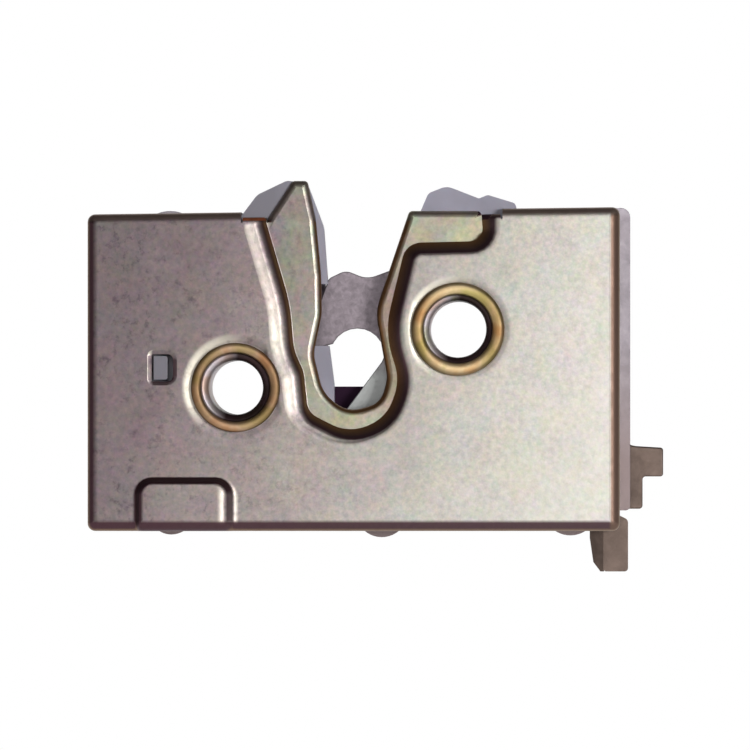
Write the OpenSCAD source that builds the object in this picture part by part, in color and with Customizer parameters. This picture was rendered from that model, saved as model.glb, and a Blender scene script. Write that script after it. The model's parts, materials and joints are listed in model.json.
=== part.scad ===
// Rotary door latch for a car door: a pressed front pan over a back plate, a forked claw and a pawl
// on hollow bushes between them, and the release and locking levers behind.
// X runs right and Z up across the face, -Y points out of the face towards the striker.
// The origin is on the axis of the claw bush, in the plane of the back plate that seats on the door.

/* [Case] */
// Distance between the two fixing bores across the face
bore_dx = 37.3; // [36:0.1:39]
// How far the pawl bore lies below the claw bore
bore_dz = 9.8; // [9:0.1:11]
// From the claw bore to the pan's wall at the claw end
pan_right = 27.2; // [25:0.1:30]
// From the claw bore to the pan's wall at the pawl end
pan_left = 62.2; // [60:0.1:66]
// From the claw bore up to the pan's top wall at the claw end
pan_top = 20.5; // [19.5:0.1:22]
// From the claw bore down to the pan's bottom wall
pan_bottom = 33.9; // [33:0.1:37]
// How much lower the top wall is at the pawl end
pan_fall = 1.2; // [0:0.1:2]
// Depth of the case from its face to the door
case_d = 17.6; // [16.5:0.1:20]
// Thickness of the pan's sheet
pan_t = 1.2; // [0.9:0.1:1.5]
// Outside bend radius of the pan
bend_r = 1.8; // [1.6:0.1:2.4]
// Thickness of the back plate
back_t = 2; // [1.6:0.1:2.4]
// How far the back plate stands out past the pan at the claw end
back_lip = 1.6; // [1:0.1:3]

/* [Pressed forms] */
// Depth of the band that is pressed in round the striker's slot
band_depth = 2.2; // [1.4:0.1:2.8]
// Width of the band's sloping wall
band_slope = 2.7; // [1.8:0.1:3.2]
// Height of the raised patch in the lower corner
boss_h = 1.7; // [1:0.1:2.2]
// Width of the raised patch's sloping wall
boss_slope = 1.7; // [1.2:0.1:2.4]
// Depth of the dimple round each bush
dimple_h = 0.6; // [0.3:0.1:0.9]
// Diameter of the dimple round each bush
dimple_d = 18; // [17:0.1:19]

/* [Bushes] */
// Bore of the claw bush, a clear hole for the fixing screw
claw_bore_d = 9.1; // [8.4:0.1:9.6]
// Bore of the pawl bush, a clear hole for the fixing screw
pawl_bore_d = 8.7; // [8.4:0.1:9.6]
// Outside diameter of both bushes
bush_d = 12; // [11.6:0.1:12.8]
// Outside diameter of the rolled ring on each bush
ring_d = 15.2; // [14.4:0.1:16]
// Height of the rolled ring over the dimple that it sits in
ring_h = 1.3; // [0.8:0.1:1.8]

/* [Claw and pawl] */
// Thickness of the claw and the pawl
claw_t = 4; // [3.4:0.1:4.6]
// Radial running clearance of whatever turns
fit = 0.06; // [0.04:0.01:0.09]
// Radius of the claw's throat round the striker
throat_r = 4.6; // [4.3:0.1:4.9]
// Thickness of the moulded guide body
guide_t = 4.6; // [4:0.1:5]
// Diameter of the pin that the pawl is lifted by
pawl_pin_d = 4; // [3.4:0.1:4.6]
// Wire diameter of the claw and pawl springs
wire_d = 1.4; // [1:0.1:1.5]

/* [Levers] */
// Thickness of each lever
lever_t = 2; // [1.6:0.1:2.4]
// Gap between the back plate and the levers, and between lever layers
layer_gap = 0.5; // [0.4:0.1:1]
// Diameter of the lever studs
stud_d = 6; // [5:0.1:7]
// Diameter of the rod holes in the levers
rod_hole_d = 5; // [4:0.1:5.6]

/* [Hidden] */
$fn = 64;

// Levels along Y, from the pan's face back to the levers
face_y = -case_d;
band_y = face_y + band_depth;
seat_y = face_y + dimple_h;
guide_y0 = band_y + pan_t + 0.1;
guide_y1 = guide_y0 + guide_t;
claw_y0 = guide_y1 + 0.4;
claw_y1 = claw_y0 + claw_t;
release_y0 = layer_gap;
release_y1 = release_y0 + lever_t;
fold_rise = 1.2;
outer_y0 = release_y1 + fold_rise + 0.3;
outer_y1 = outer_y0 + lever_t;

// Places across the face
claw_at = [0, 0];
pawl_at = [-bore_dx, -bore_dz];
slot_foot_z = -9.6;
stop_at = [6.9, 16.2];
lever_at = [-5, 8.5 - pan_bottom];
lock_at = [18, 3];
pin_reach = [14.8, -6.7];
pin_at = pawl_at + pin_reach;

// Angles of the closed pawl's swing, for the arc that its pin runs in
pawl_swing = 18;

// Rounds corners given as [x, z, radius], each into an arc of n steps
function unit(v) = v / norm(v);
function turn(a) = a > 180 ? a - 360 : a < -180 ? a + 360 : a;
function fillet(a, b, c, r, n) =
    let (u = unit(a - b), v = unit(c - b), half = acos(max(-0.9999, min(0.9999, u * v))) / 2,
        rad = min(r, 0.48 * min(norm(a - b), norm(c - b)) * tan(half)),
        m = b + unit(u + v) * rad / sin(half),
        s = b + u * rad / tan(half), e = b + v * rad / tan(half),
        from = atan2(s.y - m.y, s.x - m.x),
        sweep = turn(atan2(e.y - m.y, e.x - m.x) - from))
    r <= 0 ? [b] : [for (i = [0:n]) m + rad * [cos(from + sweep * i / n), sin(from + sweep * i / n)]];
function before(c, i) = c[(i + len(c) - 1) % len(c)];
function after(c, i) = c[(i + 1) % len(c)];
function flat2(p) = [p.x, p.y];
function rounded(c, n = 5) = [for (i = [0:len(c) - 1])
    each fillet(flat2(before(c, i)), flat2(c[i]), flat2(after(c, i)), c[i][2], n)];

// Moves every side of an anticlockwise outline outwards by d
function grown(c, d) = [for (i = [0:len(c) - 1])
    let (a = flat2(before(c, i)), b = flat2(c[i]), e = flat2(after(c, i)),
        u = unit(a - b), v = unit(e - b), half = acos(max(-0.9999, min(0.9999, u * v))) / 2,
        convex = cross(b - a, e - b) > 0 ? 1 : -1,
        p = b - convex * unit(u + v) * d / sin(half))
    [p.x, p.y, max(0.06, c[i][2] + convex * d)]];

// A body between y0 and y1 whose outline is drawn across the face
module slab(y0, y1) translate([0, y1, 0]) rotate([90, 0, 0]) linear_extrude(y1 - y0) children();
module rod(at, r, y0, y1) translate([at.x, y1, at.y]) rotate([90, 0, 0]) cylinder(r = r, h = y1 - y0);
// A turned body round an axis along Y: its profile is drawn as radius and y
module turned(at) translate([at.x, 0, at.y]) rotate([-90, 0, 0]) rotate_extrude() children();

// A body through outlines with the same number of points, each at its own y, from back to front
module loft(rings, ys) {
    n = len(rings[0]);
    m = len(rings);
    points = [for (k = [0:m - 1]) for (p = rings[k]) [p.x, ys[k], p.y]];
    sides = [for (k = [0:m - 2]) for (i = [0:n - 1])
        let (a = k * n + i, b = k * n + (i + 1) % n) each [[a, a + n, b], [b, a + n, b + n]]];
    polyhedron(points, concat([[for (i = [0:n - 1]) i]], sides, [[for (i = [n - 1:-1:0]) (m - 1) * n + i]]));
}

// Outlines of the pressed band's floor and of the slot for the striker
band_line = [[3.9, 19.9, 0.8], [-8.2, 19.9, 0.4], [-25.6, 25, 0.8], [-27.8, 25, 0.8], [-32.2, 18.2, 1.2],
    [-28.1, 4.2, 8], [-27.4, -3.6, 6], [-24.8, -14.6, 2.6], [-18.4, -17.7, 4.5], [-10.1, -14.6, 5],
    [-10.3, -6.8, 6], [-12.2, 0.2, 6], [-8.1, 14.4, 3.2], [4.3, 14.8, 2.2]];
slot_line = [[-7, 23.4, 0.5], [-9, 27.5, 0.5], [-25.8, 27.5, 0.5], [-24.4, 20.2, 6], [-23.1, 9, 16],
    [-24.3, -2.6, 8], [-22.9, -8.6, 5], [-18.9, -13.9, 4], [-10.9, -13.7, 5.2], [-11.6, -7, 6],
    [-14, 3.2, 9]];

// The pan's corners at the centre of the bend radius
pan_corners = [[-pan_left + bend_r, -pan_bottom + bend_r], [pan_right - bend_r, -pan_bottom + bend_r],
    [pan_right - bend_r, pan_top - bend_r], [-pan_left + bend_r, pan_top - pan_fall - bend_r]];

// The pan's outside with t = 0, or its inside with the sheet taken off: a post with a rounded end at each corner
module pan_form(t, back) {
    r = bend_r - t;
    end = [for (a = [0:22.5:90]) [r * sin(a), face_y + bend_r - r * cos(a)]];
    hull() for (c = pan_corners) turned(c, $fn = 16) polygon(concat(end, [[r, back], [0, back]]));
}

// A skirt round a closed outline: its section is drawn as [distance outwards, y]
module skirt(line, section, n) {
    rings = [for (s = section) rounded(grown(line, s[0]), n)];
    c = len(rings[0]);
    m = len(section);
    points = [for (k = [0:m - 1]) for (p = rings[k]) [p.x, section[k][1], p.y]];
    polyhedron(points, [for (k = [0:m - 1]) for (i = [0:c - 1])
        let (j = (i + 1) % c, q = ((k + 1) % m) * c) each [[k * c + i, q + i, k * c + j], [k * c + j, q + i, q + j]]]);
}

// How far the back of a sloping wall stands out for each millimetre of sheet
wall_shift = 0.35;
// Steps in each rounded corner of the band, and how far inside it the horn and the flag are trimmed
band_steps = 3;
band_trim = 0.02;

// The space over the pressed band, grown by t for the back of the sheet: a steep foot, then a soft shoulder
// that reaches the face at band_slope. Both ends run on in a straight line, past the face and the foot.
module band_form(t) {
    out = wall_shift * t;
    lap = 0.5;
    foot = band_y + t - 0.12 * band_depth;
    shoulder = [band_slope * 0.68 + out, face_y + t + band_depth * 0.14];
    edge = [band_slope + out, face_y + t];
    past = edge + (edge - shoulder);
    slab(past.y, band_y + t) polygon(rounded(grown(band_line, out), band_steps));
    skirt(band_line, [[-lap, past.y], past, shoulder, [band_slope * 0.42 + out, face_y + t + band_depth * 0.45],
        [out - 0.15, foot], [-lap, foot]], band_steps);
}

// The raised patch in the lower corner, whose foot runs into the bottom bend
boss_line = [[-40.4, -25.7, 1.6], [-52.8, -25.7, 1.6], [-52.8, -4 - pan_bottom, 0.3], [-40.4, -4 - pan_bottom, 0.3]];
module boss_form(t, back) intersection() {
    translate([0, -boss_h, 0]) pan_form(t, back);
    loft([for (d = [boss_slope, boss_slope * 0.55, boss_slope * 0.22, 0]) rounded(grown(boss_line, d - wall_shift * t), 3)],
        [face_y + t + 0.7, face_y + t - boss_h * 0.45, face_y + t - boss_h * 0.85, face_y + t - boss_h - 0.01]);
}

// The space over the dimple round a bush, grown by t for the back of the sheet
dimple_slope = 1.1;
module dimple_form(at, t) {
    edge_r = dimple_d / 2 + wall_shift * t;
    turned(at) polygon([[0, face_y + t - dimple_h], [edge_r + dimple_slope, face_y + t - dimple_h],
        [edge_r - dimple_slope, seat_y + t], [0, seat_y + t]]);
}

// The stretch of the top wall that is left open for the guide body and the claw
top_gap = [-36.8, 10.8];
edge_gap = [-35.8, 5.7];

window_line = [[-47.8, -4.2, 1], [-51.4, -4.2, 0.3], [-51.4, -8.8, 0.3], [-47.8, -8.8, 1]];

// The shallow dip in the bottom bend: its ends along X, its height, and its length back from the face
dip_ends = [-0.5, 7.5];
dip_h = 0.6;
dip_l = 3.4;
module dip_form(t) {
    low = -pan_bottom - 1;
    high = -pan_bottom + dip_h + t;
    slope = wall_shift * t;
    slab(face_y - 1, face_y + dip_l + t) polygon([[dip_ends[0] - 1.4 - slope, low], [dip_ends[1] + 1.4 + slope, low],
        [dip_ends[1] + slope, high], [dip_ends[0] - slope, high]]);
}

// All that is pressed into the face, grown by t for the back of the sheet
module pressed_in(t) {
    band_form(t);
    dip_form(t);
    dimple_form(claw_at, t);
    dimple_form(pawl_at, t);
}

// The edge over the gap lies below the top wall; the sheet of the horn and the flag laps it and stands above it
edge_top = pan_top - 1.5;
edge_lap = 0.5;
edge_rise = 6.5;
module front_cover() color("#b9b2a8") difference() {
    union() {
        difference() {
            union() {
                pan_form(0, -back_t);
                boss_form(0, -back_t);
            }
            pressed_in(0);
        }
        // Sheet for the horn and the flag, which is trimmed to their outline below
        slab(band_y, band_y + pan_t) translate([edge_gap[0] + 2 * edge_lap, edge_top - edge_lap])
            square([edge_gap[1] - edge_gap[0] - 3 * edge_lap, edge_lap + edge_rise]);
    }
    difference() {
        union() {
            pan_form(pan_t, 1);
            boss_form(pan_t, 1);
        }
        pressed_in(pan_t);
    }
    slab(face_y - 5, 1) polygon(rounded(slot_line));
    // The top wall is cut away over the gap, and so is what stands above its edge, apart from the band with its horn
    slab(band_y + pan_t, 1) translate([top_gap[0], pan_top - 4]) square([top_gap[1] - top_gap[0], 8]);
    slab(face_y - 5, 1) difference() {
        translate([edge_gap[0], edge_top]) square([edge_gap[1] - edge_gap[0], 14]);
        polygon(rounded(grown(band_line, -band_trim), band_steps));
    }
    slab(face_y - 5, 1) polygon(rounded(window_line));
    rod(claw_at, bush_d / 2, face_y - 5, 1);
    rod(pawl_at, bush_d / 2, face_y - 5, 1);
}

// The back plate's outline, with the lip at the claw end and ears that stand past the pan's walls
back_line = [[pan_right + back_lip, pan_top - 0.4, 1.6], [-pan_left + 0.4, pan_top - pan_fall - 0.4, 1.2],
    [-pan_left + 0.4, -pan_bottom + 0.4, 1.2], [20, -pan_bottom + 0.4, 0.6], [24, -30.6, 0.8],
    [pan_right + back_lip, -30.6, 0.8]];
back_slot_line = [[-6.4, 22, 0.4], [-8, 27, 0.4], [-27, 27, 0.4], [-24.4, 19, 4], [-22.6, 8, 4],
    [-21.9, slot_foot_z - 1, 0.6], [-11.4, slot_foot_z - 1, 0.6], [-12.6, 2, 4]];
// Each ear: its middle along X, its width and how far it stands out, first on the top wall, then on the bottom wall
top_ears = [[-48.8, 5, 0.55]];
bottom_ears = [[-48.6, 4.4, 0.7], [-13, 6, 1.15], [18.9, 5.4, 0.85]];
ear_reach = 3.4;
ear_root = 0.6;

// A domed ear that is folded forwards over a wall at height z; up is 1 on the top wall and -1 on the bottom wall
module ear(e, z, up) {
    dome_r = (pow(e[1] / 2, 2) + pow(e[2], 2)) / (2 * e[2]);
    half = asin(e[1] / 2 / dome_r);
    arc = [for (a = [-half:half / 5:half + 0.01]) [e[0] - dome_r * sin(a), z + up * (e[2] - dome_r + dome_r * cos(a))]];
    slab(-back_t - ear_reach, 0) polygon(arc);
    slab(-back_t, 0) polygon([for (c = [[-0.4, 0.1], [0.4, 0.1], [0.4, -ear_root], [-0.4, -ear_root]])
        [e[0] + c.x * e[1], z + up * c.y]]);
}

module back_plate() color("#8d8278") difference() {
    union() {
        slab(-back_t, 0) polygon(rounded(back_line));
        for (e = top_ears) ear(e, pan_top - pan_fall * (pan_right - e[0]) / (pan_left + pan_right) + 0.05, 1);
        for (e = bottom_ears) ear(e, -pan_bottom - 0.05, -1);
    }
    slab(-back_t - 1, 1) polygon(rounded(back_slot_line));
    rod(claw_at, bush_d / 2 - 0.7, -back_t - 1, 1);
    rod(pawl_at, bush_d / 2 - 0.7, -back_t - 1, 1);
    rod(lever_at, stud_d / 2 - 1, -back_t - 1, 1);
    rod(lock_at, stud_d / 2 - 1, -back_t - 1, 1);
    rod(stop_at, stop_rivet_r, -back_t - 1, 1);
    // The arc that the pawl's pin swings in
    slab(-back_t - 1, 1) pin_arc(pawl_pin_d + 1.2);
}

pin_angle = atan2(pin_reach.y, pin_reach.x);
pin_r = norm(pin_reach);
module pin_arc(w) {
    steps = 12;
    from = pin_angle + 1.5;
    sweep = -(pawl_swing + 3);
    outer = [for (i = [0:steps]) pawl_at + (pin_r + w / 2) * [cos(from + sweep * i / steps), sin(from + sweep * i / steps)]];
    inner = [for (i = [steps:-1:0]) pawl_at + (pin_r - w / 2) * [cos(from + sweep * i / steps), sin(from + sweep * i / steps)]];
    polygon(concat(outer, inner));
    for (a = [from, from + sweep]) translate(pawl_at + pin_r * [cos(a), sin(a)]) circle(w / 2);
}

// The moulded body that lines the slot's left side, with the two lobes that stand above the pan
guide_line = [[13.6, -22.6, 3], [13.6, 18, 1.5], [10.4, 18.4, 0.3], [9.6, 21.2, 0.8], [5, 22.6, 0.8],
    [3.5, 22, 0.5], [-1.9, 24.1, 2.6], [-5, 22.9, 1.4], [-6.5, 19.4, 0.5], [-8.2, 17.6, 1], [-10.2, 11.6, 4],
    [-13.1, 3.2, 8], [-10.8, -8, 4], [-11, -14.8, 4], [-20.9, -14.8, 1.2], [-20.4, -9.2, 1.5],
    [-21.6, 0, 10], [-22, 9, 10], [-22.6, 17.2, 5], [-25.4, 24.6, 1.2], [-28.8, 25, 1.6],
    [-33.8, 22.6, 2.5], [-36.5, 19, 0.8], [-37.4, 16.8, 0.6], [-57, 16.6, 2], [-57, -22.6, 2]];

module guide_body() color("#9a9aa8") difference() {
    union() {
        slab(guide_y0, guide_y1) polygon(rounded(guide_line));
        // Seats against the inside of the pan, round the side of each bush that faces away from the slot
        rod(claw_at, dimple_d / 2 - 1.2, seat_y + pan_t, guide_y0 + 1);
        rod(pawl_at, dimple_d / 2 - 1.2, seat_y + pan_t, guide_y0 + 1);
    }
    slab(face_y, guide_y0) translate([pawl_at.x + 3.6, -30]) square([claw_at.x - pawl_at.x - 9.6, 40]);
    for (at = [claw_at, pawl_at]) rod(at, bush_d / 2 + 0.1, face_y, 0);
    // Hollows that keep the moulding's wall even
    for (x = [-52, -43]) slab(guide_y0 + 1.6, guide_y1 + 1) translate([x, 4]) square([6.4, 8.6]);
}

// A hollow axle bush: its front end is rolled over the dimple into a ring, its back end staked in the plate
module bush(at, bore_d) color("#c9a869") turned(at) {
    rb = bore_d / 2;
    ro = bush_d / 2;
    rr = ring_d / 2;
    rm = (rr + ro - 0.2) / 2;
    roll = [for (a = [0:15:180]) [rm + (rr - rm) * cos(a), seat_y - ring_h * (0.25 + 0.75 * sin(a))]];
    flare = [for (a = [15:15:90]) [rb + (2 * rm - rr - rb) * (1 - sin(a)), seat_y + 3 * (1 - cos(a))]];
    polygon(concat([[rb, 0], [ro - 0.7, 0], [ro - 0.7, -back_t], [ro, -back_t], [ro, seat_y], [rr, seat_y]],
        roll, flare));
}
module claw_bush() bush(claw_at, claw_bore_d);
module pawl_bush() bush(pawl_at, pawl_bore_d);

// Rubber block that the striker lands on, at the foot of the back plate's slot
buffer_line = [[-11.6, -14.6, 1], [-11.6, slot_foot_z, 0.5], [-21.6, slot_foot_z, 0.5], [-21.6, -14.6, 1]];
module striker_buffer() color("#201a22") difference() {
    slab(claw_y1 + 0.3, -0.1) polygon(rounded(buffer_line));
    slab(-back_t, 1) translate([-25, -20]) square([20, 20 + slot_foot_z - 1]);
}

// The post that the claw's back runs against when it opens, with its rubber sleeve
stop_r = 1.6;
stop_rivet_r = 1.5;
sleeve_r = 2.5;
module stop_post() color("#9c9384") {
    rod(stop_at, stop_r, claw_y0, -back_t);
    rod(stop_at, stop_rivet_r, -back_t, 0);
}
module stop_sleeve() color("#26262a") difference() {
    rod(stop_at, sleeve_r, claw_y0 + 0.1, -back_t - 0.3);
    rod(stop_at, stop_r + 0.05, claw_y0 - 1, 0);
}

// The forked claw, closed: its upper jaw crosses the slot and its throat opens down to the left
throat_at = [-17.1, -4.4];
claw_tip = [[-4, 11.4, 6], [-11.7, 9.9, 3], [-15.4, 8.5, 4], [-19, 10, 2.4], [-21.9, 8.6, 1.4], [-24.6, 1, 6],
    [-24.8, -3.4, 0.8], [-21.2, -2.4, 1.5]];
claw_jaw = [[-12.9, -5.4, 1.2], [-19.3, -14, 0.8], [-17.4, -16, 0.8], [-8.6, -13.1, 1], [-5, -8.6, 0.5]];
throat_arc = [for (a = [150:-15:0]) concat(throat_at + throat_r * [cos(a), sin(a)], [0])];
function ring_arc(r, from, to, steps) = [for (i = [0:steps]) let (a = from + (to - from) * i / steps) [r * cos(a), r * sin(a), 0]];
hub_r = 10;
tooth_r = 12.2;
claw_line = concat([[4, 11.4, 5]], claw_tip, throat_arc, claw_jaw,
    ring_arc(hub_r, 244, 265, 3), ring_arc(tooth_r, 266, 278, 2), ring_arc(hub_r + 0.3, 283, 291, 2),
    ring_arc(tooth_r, 292, 312, 3), ring_arc(hub_r + 0.6, 322, 410, 10));

module claw() color("#8a8086") difference() {
    slab(claw_y0, claw_y1) polygon(rounded(claw_line));
    rod(claw_at, bush_d / 2 + fit, claw_y0 - 1, claw_y1 + 1);
    // Hole that the spring hooks in
    rod([-7.4, 6], wire_d / 2 + 0.3, claw_y0 - 1, claw_y1 + 1);
}

// The pawl, closed: its tip stands in the claw's notch, short of the tooth
pawl_line = concat(
    [for (a = [60:20:300]) concat(pawl_at + 9.4 * [cos(a), sin(a)], [0])],
    [[-28, -20.6, 4], [-17.6, -23.4, 6], [-4.4, -19.6, 4], [-3.5, -13.6, 0.6], [-2.9, -10.9, 0.4],
        [-4.8, -10.2, 0.6], [-7.6, -15.4, 2], [-17.6, -17.2, 4], [-24, -14, 4]]);
module pawl() color("#8f878a") difference() {
    slab(claw_y0, claw_y1) polygon(rounded(pawl_line));
    rod(pawl_at, bush_d / 2 + fit, claw_y0 - 1, claw_y1 + 1);
    rod(pin_at, pawl_pin_d / 2, claw_y0 - 1, claw_y1 + 1);
    rod(pawl_at + [-6.4, 4.6], wire_d / 2 + 0.3, claw_y0 - 1, claw_y1 + 1);
}
module pawl_pin() color("#a49c92") {
    rod(pin_at, pawl_pin_d / 2, claw_y0, release_y1 + 0.4);
}

// Thin washers that space the claw and the pawl from their springs
module washer(at, y) color("#b5ada0") difference() {
    rod(at, bush_d / 2 + 2.6, y + 0.05, y + 0.45);
    rod(at, bush_d / 2 + 0.1, y - 1, y + 1);
}
module claw_washer() washer(claw_at, claw_y1);
module pawl_washer() washer(pawl_at, claw_y1);

// A round wire of radius r along a path that lies across Y
module wire(path, r, sides = 8) {
    n = len(path);
    points = [for (i = [0:n - 1])
        let (t = unit(path[min(i + 1, n - 1)] - path[max(i - 1, 0)]), u = unit(cross([0, 1, 0], t)), v = cross(t, u))
        for (k = [0:sides - 1]) let (a = 360 * k / sides) path[i] + r * (u * cos(a) + v * sin(a))];
    sides_f = [for (i = [0:n - 2]) for (k = [0:sides - 1])
        let (a = i * sides + k, b = i * sides + (k + 1) % sides) each [[a, b, a + sides], [b, b + sides, a + sides]]];
    polyhedron(points, concat([[for (k = [sides - 1:-1:0]) k]], sides_f, [[for (k = [0:sides - 1]) (n - 1) * sides + k]]));
}
// A coil round an axis along Y with a straight leg at each end, wound as [start angle, sweep, first leg, last leg]
function coil(at, r, y, pitch, wound, steps = 24) =
    let (from = wound[0], sweep = wound[1],
        p = function(i) let (a = from + sweep * i / steps)
        [at.x + r * cos(a), y + pitch * abs(sweep) * i / steps / 360, at.y + r * sin(a)],
        way = sign(sweep),
        lead = function(a) way * [-sin(a), 0, cos(a)])
    concat([p(0) - wound[2] * lead(from)], [for (i = [0:steps]) p(i)], [p(steps) + wound[3] * lead(from + sweep)]);

claw_coil = [150, 250, 5, 9];
pawl_coil = [250, -250, 6, 8];
lever_coil = [230, 200, 6, 6];
toggle_coil = [240, -400, 5, 5];
thin_wire_d = 1;
spring_r = bush_d / 2 + 0.5 + wire_d / 2;
spring_y = claw_y1 + 0.6 + wire_d / 2;
module claw_spring() color("#6f6a66") wire(coil(claw_at, spring_r, spring_y, 0, claw_coil), wire_d / 2);
module pawl_spring() color("#6f6a66") wire(coil(pawl_at, spring_r, spring_y, 0, pawl_coil), wire_d / 2);

// Shouldered studs riveted into the back plate, which carry the levers
module lever_stud() color("#a9a196") turned(lever_at) polygon([[0, -back_t], [stud_d / 2 - 1, -back_t], [stud_d / 2 - 1, 0],
    [stud_d / 2 + 1.6, 0], [stud_d / 2 + 1.6, release_y0 - 0.05], [stud_d / 2, release_y0 - 0.05],
    [stud_d / 2, outer_y1 + 1], [stud_d / 2 - 0.4, outer_y1 + 1.4], [0, outer_y1 + 1.4]]);
module lock_stud() color("#a9a196") turned(lock_at) polygon([[0, -back_t], [stud_d / 2 - 1, -back_t], [stud_d / 2 - 1, 0],
    [stud_d / 2 + 1.8, 0], [stud_d / 2 + 1.8, outer_y0 - 0.05], [stud_d / 2, outer_y0 - 0.05],
    [stud_d / 2, outer_y1 + 1], [stud_d / 2 - 0.4, outer_y1 + 1.4], [0, outer_y1 + 1.4]]);
module lever_spacer() color("#d8d2c4") difference() {
    rod(lever_at, stud_d / 2 + 1.4, release_y1 + 0.05, outer_y0 - 0.05);
    rod(lever_at, stud_d / 2 + 0.05, release_y1 - 1, outer_y0 + 1);
}
// Spring clips pressed on the ends of the studs
module clip(at) color("#77716b") difference() {
    rod(at, stud_d / 2 + 2.2, outer_y1 + 0.1, outer_y1 + 0.7);
    rod(at, stud_d / 2, outer_y1 - 1, outer_y1 + 2);
}
module lever_clip() clip(lever_at);
module lock_clip() clip(lock_at);

// The outer release lever: a finger over the pawl's pin and a folded tab below the case
release_line = concat(
    [for (a = [90:-30:0]) concat(lever_at + 6.4 * [cos(a), sin(a)], [0])],
    [[8, -26.6, 5], [20, -28, 4], [28.7, -32.2, 0.8], [28.7, -41, 0.6], [24.5, -41, 0.5], [24.5, -34, 0.4],
        [10, -33, 6]],
    [for (a = [270:-30:210]) concat(lever_at + 6.4 * [cos(a), sin(a)], [0])],
    [[-17.6, -18, 3], [-19, -16.4, 0.3], [-22.2, -14.0, 0.5], [-20.4, -11.4, 0.8], [-15.2, -13.4, 2]]);
module release_lever() color("#86796f") difference() {
    union() {
        slab(release_y0, release_y1) polygon(rounded([for (i = [len(release_line) - 1:-1:0]) release_line[i]]));
        intersection() {
            translate([0, 0, -41]) linear_extrude(7) polygon([[24.6, release_y0], [24.6, release_y1],
                [22.2, release_y1 + fold_rise], [22.2, release_y0 + fold_rise]]);
            slab(-1, outer_y0) polygon([[22, -34], [22.3, -36], [22.8, -39.4], [24, -41], [25, -41], [25, -34]]);
        }
    }
    rod(lever_at, stud_d / 2 + fit, release_y0 - 1, release_y1 + 1);
}

// The inner release lever, which pulls the outer one along by its bent lug
inner_rod_at = [-44, -27];
module inner_lever() color("#8c7f74") difference() {
    union() {
        slab(outer_y0, outer_y1) {
            hull() {
                translate(lever_at) circle(6.4);
                translate(inner_rod_at) circle(5);
            }
            hull() {
                translate(lever_at) circle(6.4);
                translate([-9.4, -16.8]) circle(2.6);
            }
        }
        slab(release_y0 + 0.2, outer_y0 + 0.5) translate([-9.45, -15.25]) rotate(-28.8) square([5, 2], center = true);
    }
    rod(lever_at, stud_d / 2 + fit, outer_y0 - 1, outer_y1 + 1);
    rod(inner_rod_at, rod_hole_d / 2, outer_y0 - 1, outer_y1 + 1);
}
module inner_rod_clip() color("#e8e2d0") difference() {
    union() {
        rod(inner_rod_at, rod_hole_d / 2 - 0.05, outer_y0 - 0.9, outer_y1 + 0.9);
        rod(inner_rod_at, rod_hole_d / 2 + 1.4, outer_y0 - 0.9, outer_y0 - 0.05);
        rod(inner_rod_at, rod_hole_d / 2 + 1.4, outer_y1 + 0.05, outer_y1 + 0.9);
    }
    rod(inner_rod_at, rod_hole_d / 2 - 1, outer_y0 - 2, outer_y1 + 2);
}
module lever_spring() color("#6f6a66")
    wire(coil(lever_at, stud_d / 2 + 1.6 + thin_wire_d / 2, release_y1 + 0.75, 0, lever_coil), thin_wire_d / 2);

// The locking lever, with its stepped end past the case
lock_line = concat(
    [[34.7, -20, 0.5], [28, -19.6, 3], [24.6, -8, 8]],
    [for (a = [20:20:70]) concat(lock_at + 6.2 * [cos(a), sin(a)], [0])],
    [[15.6, 14.6, 2.8], [9.6, 12.6, 2.8]],
    [for (a = [180:20:250]) concat(lock_at + 6.2 * [cos(a), sin(a)], [0])],
    [[20.4, -16, 6], [23.6, -30.4, 1], [31.2, -30.4, 0.6], [31.2, -24.9, 0.5], [34.7, -24.9, 0.5]]);
module lock_lever() color("#8f8175") difference() {
    slab(outer_y0, outer_y1) polygon(rounded(lock_line));
    rod(lock_at, stud_d / 2 + fit, outer_y0 - 1, outer_y1 + 1);
    rod([12.8, 11.6], 1, outer_y0 - 1, outer_y1 + 1);
}
toggle_at = [19.5, 13.6];
toggle_r = 2.4;
module toggle_spring() color("#6f6a66")
    wire(coil(toggle_at, toggle_r, 1.6, 1.4, toggle_coil, 28), thin_wire_d / 2);

front_cover();
back_plate();
guide_body();
claw_bush();
pawl_bush();
striker_buffer();
stop_post();
stop_sleeve();
claw();
claw_washer();
claw_spring();
pawl();
pawl_pin();
pawl_washer();
pawl_spring();
lever_stud();
lock_stud();
release_lever();
inner_lever();
lever_clip();
lever_spring();
inner_rod_clip();
lock_lever();
lock_clip();
toggle_spring();
lever_spacer();
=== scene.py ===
"""Rotary car door latch, dressed for a picture taken straight on to its face."""

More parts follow.
